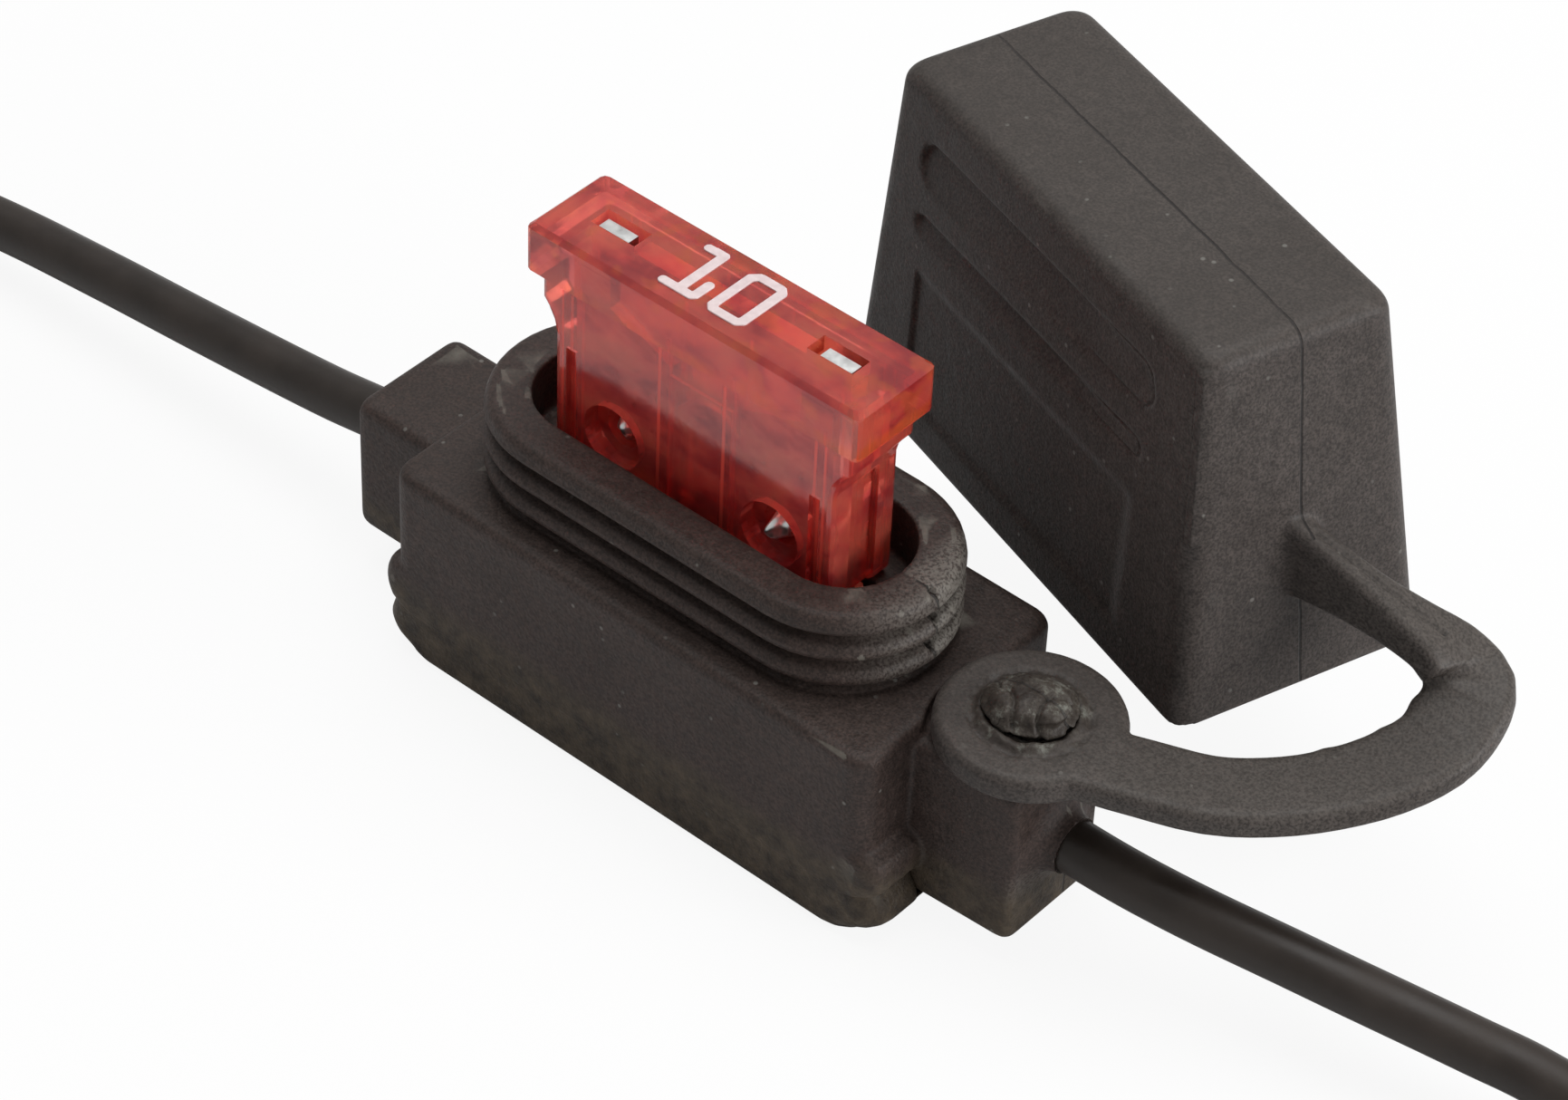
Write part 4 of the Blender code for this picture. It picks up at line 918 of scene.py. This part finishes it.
def fuse_plastic():
    """Tinted clear plastic, slightly cloudy, with a moulded waviness, and painted inner light and shade:
    darker and brighter depths, glints in the head, a glint band near the head's lower edge and lighter
    upright lines on the body.
    """
    made, tree, shader = shader_of("fuse_plastic")
    here = tree.nodes.new("ShaderNodeTexCoord").outputs["Object"]
    cloud = clouds(tree, 330.0, 4.0, here, stretch=(1.0, 1.0, 1.7), roughness=0.62)
    glow = clouds(tree, 620.0, 2.0, here)
    height = level(tree, here, UPWARD, ORIGIN)
    # Red tint, darker and brighter by a cloud as painted inner light and shade
    colour = ramp(tree, cloud, FUSE_TINT_LIGHT_AND_SHADE)

    # Painted orange glints in the head
    glint_spots = ramp(tree, glow, ((0.54, 0.0), (0.60, 1.0)))
    glint_spots = mix(tree, 1.0, glint_spots, soften(tree, height, HEAD_TOP - 0.0012, HEAD_TOP - 0.0040), "MULTIPLY")
    colour = mix(tree, times(tree, glint_spots, 0.35), colour, FUSE_GLINT)

    # Painted glint band round the head near its lower edge
    below_top = level(tree, here, UPWARD, (0.0, 0.0, HEAD_TOP))
    rim = calc(tree, "ABSOLUTE", calc(tree, "ADD", below_top, RIM_GLINT_DEPTH))
    rim = soften(tree, rim, 0.00015, 0.00050)
    rim = times(tree, rim, ramp(tree, glow, ((0.40, 0.15), (0.56, 1.0))))
    colour = mix(tree, times(tree, rim, 0.75), colour, FUSE_RIM_GLINT)

    # Painted lighter upright lines where inner walls catch the light; they also make the plastic less clear
    along = calc(tree, "ABSOLUTE", level(tree, here, RIGHTWARD, ORIGIN))
    lit_streaks = None
    for middle, half in FUSE_LIT_STREAKS:
        off = calc(tree, "ABSOLUTE", calc(tree, "SUBTRACT", along, middle))
        lit_streak = soften(tree, off, half * 0.4, half)
        lit_streaks = lit_streak if lit_streaks is None else calc(tree, "MAXIMUM", lit_streaks, lit_streak)
    lit_streaks = times(tree, lit_streaks, soften(tree, height, HEAD_TOP - 0.0031, HEAD_TOP - 0.0027))
    colour = mix(tree, lit_streaks, colour, FUSE_LIT_STREAK)
    tree.links.new(colour, shader.inputs["Base Color"])

    tree.links.new(ramp(tree, cloud, ((0.3, 0.16), (0.7, 0.08))), shader.inputs["Roughness"])
    clear = calc(tree, "SUBTRACT", FUSE_CLEARNESS, times(tree, lit_streaks, 0.25))
    clear = calc(tree, "SUBTRACT", clear, times(tree, cloud, 0.10))
    tree.links.new(clear, shader.inputs["Transmission Weight"])
    shader.inputs["IOR"].default_value = FUSE_REFRACTION
    tree.links.new(bump(tree, clouds(tree, 900.0, 2.0, here), 0.22, 0.00006), shader.inputs["Normal"])
    return made


def staked_dimples(finish):
    """Uneven bulges of the blades in the two wells on each side of the fuse, where they are staked."""
    shape = bmesh.new()
    for side in (-1, 1):
        for x, tall, seed in DIMPLES:
            rows = []
            for ring in range(DIMPLE_RINGS + 1):
                share = ring / DIMPLE_RINGS
                row = []
                for step in range(DIMPLE_STEPS):
                    angle = 2 * math.pi * step / DIMPLE_STEPS
                    waves = share * DIMPLE_WAVES
                    wave = noise.noise(Vector((math.cos(angle) * waves, math.sin(angle) * waves, seed)))
                    rise = tall * (1 - share ** 3.0) * (1 + DIMPLE_UNEVEN * wave)
                    radius = DIMPLE_RADIUS * share
                    row.append(shape.verts.new((
                        x + radius * math.cos(angle) * DIMPLE_NARROW,
                        side * (BLADE_HALF - DIMPLE_SINK + rise),
                        WELL_Z + radius * math.sin(angle),
                    )))
                    if ring == 0:
                        break
                rows.append(row)
            for step in range(DIMPLE_STEPS):
                after = (step + 1) % DIMPLE_STEPS
                shape.faces.new((rows[0][0], rows[1][step], rows[1][after]))
                for low, high in zip(rows[1:], rows[2:]):
                    shape.faces.new((low[step], low[after], high[after], high[step]))
            shape.faces.new(rows[-1])
    bmesh.ops.recalc_face_normals(shape, faces=shape.faces)
    made = new_mesh_object("staked_dimples", shape, finish)
    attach(made, "fuse")
    return made


def stroke_outlines(points, half, closed):
    """Outlines of a flat stroke: one bar with round ends for each stretch of a line."""
    bars = []
    following = points[1:] + points[:1] if closed else points[1:]
    for start, end in zip(points, following):
        heading = math.atan2(end[1] - start[1], end[0] - start[0])
        outline = []
        for middle, turn in ((start, math.pi / 2), (end, -math.pi / 2)):
            for step in range(STROKE_STEPS + 1):
                angle = heading + turn + math.pi * step / STROKE_STEPS
                outline.append((middle[0] + half * math.cos(angle), middle[1] + half * math.sin(angle)))
        bars.append(outline)
    return bars


def numeral(finish):
    """The rating printed on the raised strokes of the fuse's head."""
    low = HEAD_TOP - STROKE_SINK
    high = HEAD_TOP + STROKE_RISE
    shape = bmesh.new()
    for points, closed in STROKES:
        for outline in stroke_outlines([(x / 1000, y / 1000) for x, y in points], STROKE_HALF, closed):
            foot = [shape.verts.new((x, y, low)) for x, y in outline]
            rim = [shape.verts.new((x, y, high)) for x, y in outline]
            for index in range(len(outline)):
                after = (index + 1) % len(outline)
                shape.faces.new((foot[index], foot[after], rim[after], rim[index]))
            shape.faces.new(foot)
            shape.faces.new(rim)
    bmesh.ops.recalc_face_normals(shape, faces=shape.faces)
    made = new_mesh_object("rating_numeral", shape, finish)
    grid = made.modifiers.new("grid", "REMESH")
    grid.mode = "VOXEL"
    grid.voxel_size = STROKE_VOXEL
    round_off = made.modifiers.new("round_off", "SMOOTH")
    round_off.iterations = 4
    apply_modifiers(made)
    made.data.materials.clear()
    made.data.materials.append(finish)
    made.data.shade_smooth()
    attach(made, "fuse")
    return made


# Studio: share of the floor's own glow where the camera sees it, and strengths of the surround
FLOOR_SIZE = 1.5
FLOOR_GLOW = 0.90
SURROUND_LIGHT = 0.26
SURROUND_MIRRORED = 0.44
SURROUND_SEEN = 1.0

# Lamps: name, place, size, power
LAMPS = (
    ("lamp_overhead", (-0.04, 0.08, 0.50), 0.40, 1.9),
    ("lamp_right", (0.46, 0.16, 0.15), 0.25, 1.9),
)
LAMP_TARGET = (0.0, 0.0, 0.01)


def studio_floor():
    """Pale floor that looks white to the camera and keeps the shadow."""
    shape = bmesh.new()
    bmesh.ops.create_grid(shape, x_segments=1, y_segments=1, size=FLOOR_SIZE)
    made, tree, shader = shader_of("studio_floor")
    shader.inputs["Base Color"].default_value = (0.86, 0.86, 0.86, 1.0)
    shader.inputs["Roughness"].default_value = 0.9
    path = tree.nodes.new("ShaderNodeLightPath")
    glow = tree.nodes.new("ShaderNodeEmission")
    glow.inputs["Color"].default_value = (1.0, 1.0, 1.0, 1.0)
    glow.inputs["Strength"].default_value = 1.0
    blend = tree.nodes.new("ShaderNodeMixShader")
    tree.links.new(times(tree, path.outputs["Is Camera Ray"], FLOOR_GLOW), blend.inputs["Fac"])
    tree.links.new(shader.outputs["BSDF"], blend.inputs[1])
    tree.links.new(glow.outputs["Emission"], blend.inputs[2])
    tree.links.new(blend.outputs["Shader"], tree.nodes["Material Output"].inputs["Surface"])
    floor = new_mesh_object("studio_floor", shape, made)


def surround():
    """Even white surround, which is dimmer as a reflection and as light than where it is seen."""
    world = bpy.data.worlds.new("studio_world")
    bpy.context.scene.world = world
    world.use_nodes = True
    tree = world.node_tree
    background = tree.nodes["Background"]
    background.inputs["Color"].default_value = (1.0, 1.0, 1.0, 1.0)
    path = tree.nodes.new("ShaderNodeLightPath")
    mirrored = times(tree, path.outputs["Is Glossy Ray"], SURROUND_MIRRORED)
    through = calc(tree, "MAXIMUM", path.outputs["Is Transmission Ray"], mirrored)
    seen = calc(tree, "MAXIMUM", path.outputs["Is Camera Ray"], through)
    strength = tree.nodes.new("ShaderNodeMapRange")
    strength.inputs["To Min"].default_value = SURROUND_LIGHT
    strength.inputs["To Max"].default_value = SURROUND_SEEN
    tree.links.new(seen, strength.inputs["Value"])
    tree.links.new(strength.outputs["Result"], background.inputs["Strength"])


def lamps():
    """Two soft square lamps, one overhead and one from the right."""
    for name, place, size, power in LAMPS:
        data = bpy.data.lights.new(name, "AREA")
        data.shape = "SQUARE"
        data.size = size
        data.energy = power
        lamp = bpy.data.objects.new(name, data)
        lamp.location = place
        aim = Vector(LAMP_TARGET) - Vector(place)
        lamp.rotation_euler = aim.to_track_quat("-Z", "Y").to_euler()
        bpy.context.scene.collection.objects.link(lamp)


def paint(node, finish):
    """Gives a CAD node its material."""
    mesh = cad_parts[node].data
    mesh.materials.clear()
    mesh.materials.append(finish)


def add_leads(copper):
    """Both leads with their bare ends and ties."""
    jacket = jacket_material()
    nylon = plain_plastic("tie_nylon", (0.018, 0.018, 0.018), (0.034, 0.034, 0.034), (0.35, 0.5), 1200.0)
    for word, side, exit_x, route, coil in (
        ("left", -1, LEFT_EXIT, LEFT_ROUTE, LEFT_COIL),
        ("right", 1, RIGHT_EXIT, RIGHT_ROUTE, RIGHT_COIL),
    ):
        wire = lead(f"{word}_wire", side, exit_x, list(route), coil, jacket)
        bare = strands(f"{word}_strands", coil, copper)
        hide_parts(f"{word}_bare_end")
        paint(f"{word}_coil_tie", nylon)


def body_rubber():
    """Rubber of the block, collar, boots and stake."""
    return rubber(
        "holder_rubber",
        dark=(0.032, 0.0210, 0.0176),
        light=(0.045, 0.0308, 0.0266),
        edge_wear_and_highlight=(0.135, 0.122, 0.104),
        grain=1.0,
        top_dust_and_light=0.08,
        wear=1.25,
        lines=(SPLIT, TAB),
        pale=(LIT_PAST_NOTCHES, LIT_ROUND_END, LIT_BOOT_END),
        below=0.0049,
        scuffed=True,
    )


def cover_rubber():
    """Rubber of the cover under the block."""
    return rubber(
        "cover_rubber",
        dark=(0.029, 0.0195, 0.0158),
        light=(0.044, 0.0302, 0.0246),
        edge_wear_and_highlight=(0.110, 0.096, 0.080),
        grain=1.3,
        top_dust_and_light=0.2,
        below=0.0049,
    )


def cap_rubber():
    """Rubber of the cap and tether, with the parting line along the cap and a strap paler towards its far
    end, partly its own tone and partly painted sheen.
    """
    place = cap_matrix()
    turn = place.to_3x3()
    parting_end = (tuple(turn @ Vector((-1.0, 0.0, 0.0))), tuple(place @ Vector(PARTING_FROM)))
    strap_sheen_edge = (tuple(turn @ Vector(RIGHTWARD)), tuple(place @ Vector(STRAP_FROM)), STRAP_WIDTH)
    return rubber(
        "cap_rubber",
        dark=(0.0415, 0.0335, 0.0300),
        light=(0.0535, 0.0445, 0.0405),
        edge_wear_and_highlight=(0.120, 0.112, 0.102),
        grain=0.6,
        top_dust_and_light=0.30,
        wear=0.25,
        lines=((tuple(turn @ Vector(AWAY)), CAP_CENTRE, (parting_end,)),),
        pale=((STRAP_SHEEN_STRENGTH, (strap_sheen_edge,)),),
        scuffed=True,
    )


def add_mouldings():
    finishes = [body_rubber(), cover_rubber(), cap_rubber()]
    coarse = 1.0
    for finish, (node, name, voxel, smoothing, keep, change, body, slot, place) in zip(finishes, (
        ("holder_body", "holder_moulding", 0.00011, 4, 0.22, settle_holder, "holder", "holder_rubber", None),
        ("base_cover", "cover_moulding", 0.00013, 7, 0.30, settle_cover, "holder", "holder_rubber", None),
        ("cap_with_tether", "cap_moulding", 0.00013, 9, 0.30, settle_cap, "cap", "cap_rubber", cap_matrix()),
    )):
        share = keep
        piece = soft_copy(node, name, finish, voxel * coarse, smoothing, share, change, place)
        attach(piece, body)
        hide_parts(node)


def add_fuse():
    """The fuse's plastic, metal and numeral."""
    paint("fuse_housing", fuse_plastic())
    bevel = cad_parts["fuse_housing"].modifiers.new("edges", "BEVEL")
    bevel.width = FUSE_EDGE
    bevel.segments = 2
    bevel.limit_method = "ANGLE"
    bevel.angle_limit = math.radians(40)
    plated = metal("fuse_metal", (0.60, 0.61, 0.60), (0.82, 0.83, 0.82), (0.26, 0.40), 1500.0)
    paint("fuse_element", plated)
    staked_dimples(plated)
    numeral(plain_plastic("numeral_paint", (0.68, 0.55, 0.55), (0.80, 0.67, 0.67), (0.45, 0.6), 2500.0))


def add_inner_metal(copper):
    """Finishes of the terminals and conductors inside the block."""
    tinned = metal("terminal_metal", (0.50, 0.47, 0.40), (0.78, 0.74, 0.64), (0.28, 0.45), 1100.0)
    for word in ("left", "right"):
        paint(f"terminal_{word}", tinned)
        paint(f"conductor_{word}", copper)


def main():
    """Everything that the render shows."""
    camera()
    studio_floor()
    surround()
    lamps()
    bpy.context.scene.view_settings.view_transform = "Standard"
    copper = metal("copper_strands", (0.50, 0.24, 0.13), (0.86, 0.46, 0.27), (0.28, 0.45), 1800.0)
    add_leads(copper)
    add_mouldings()
    add_fuse()
    add_inner_metal(copper)


main()
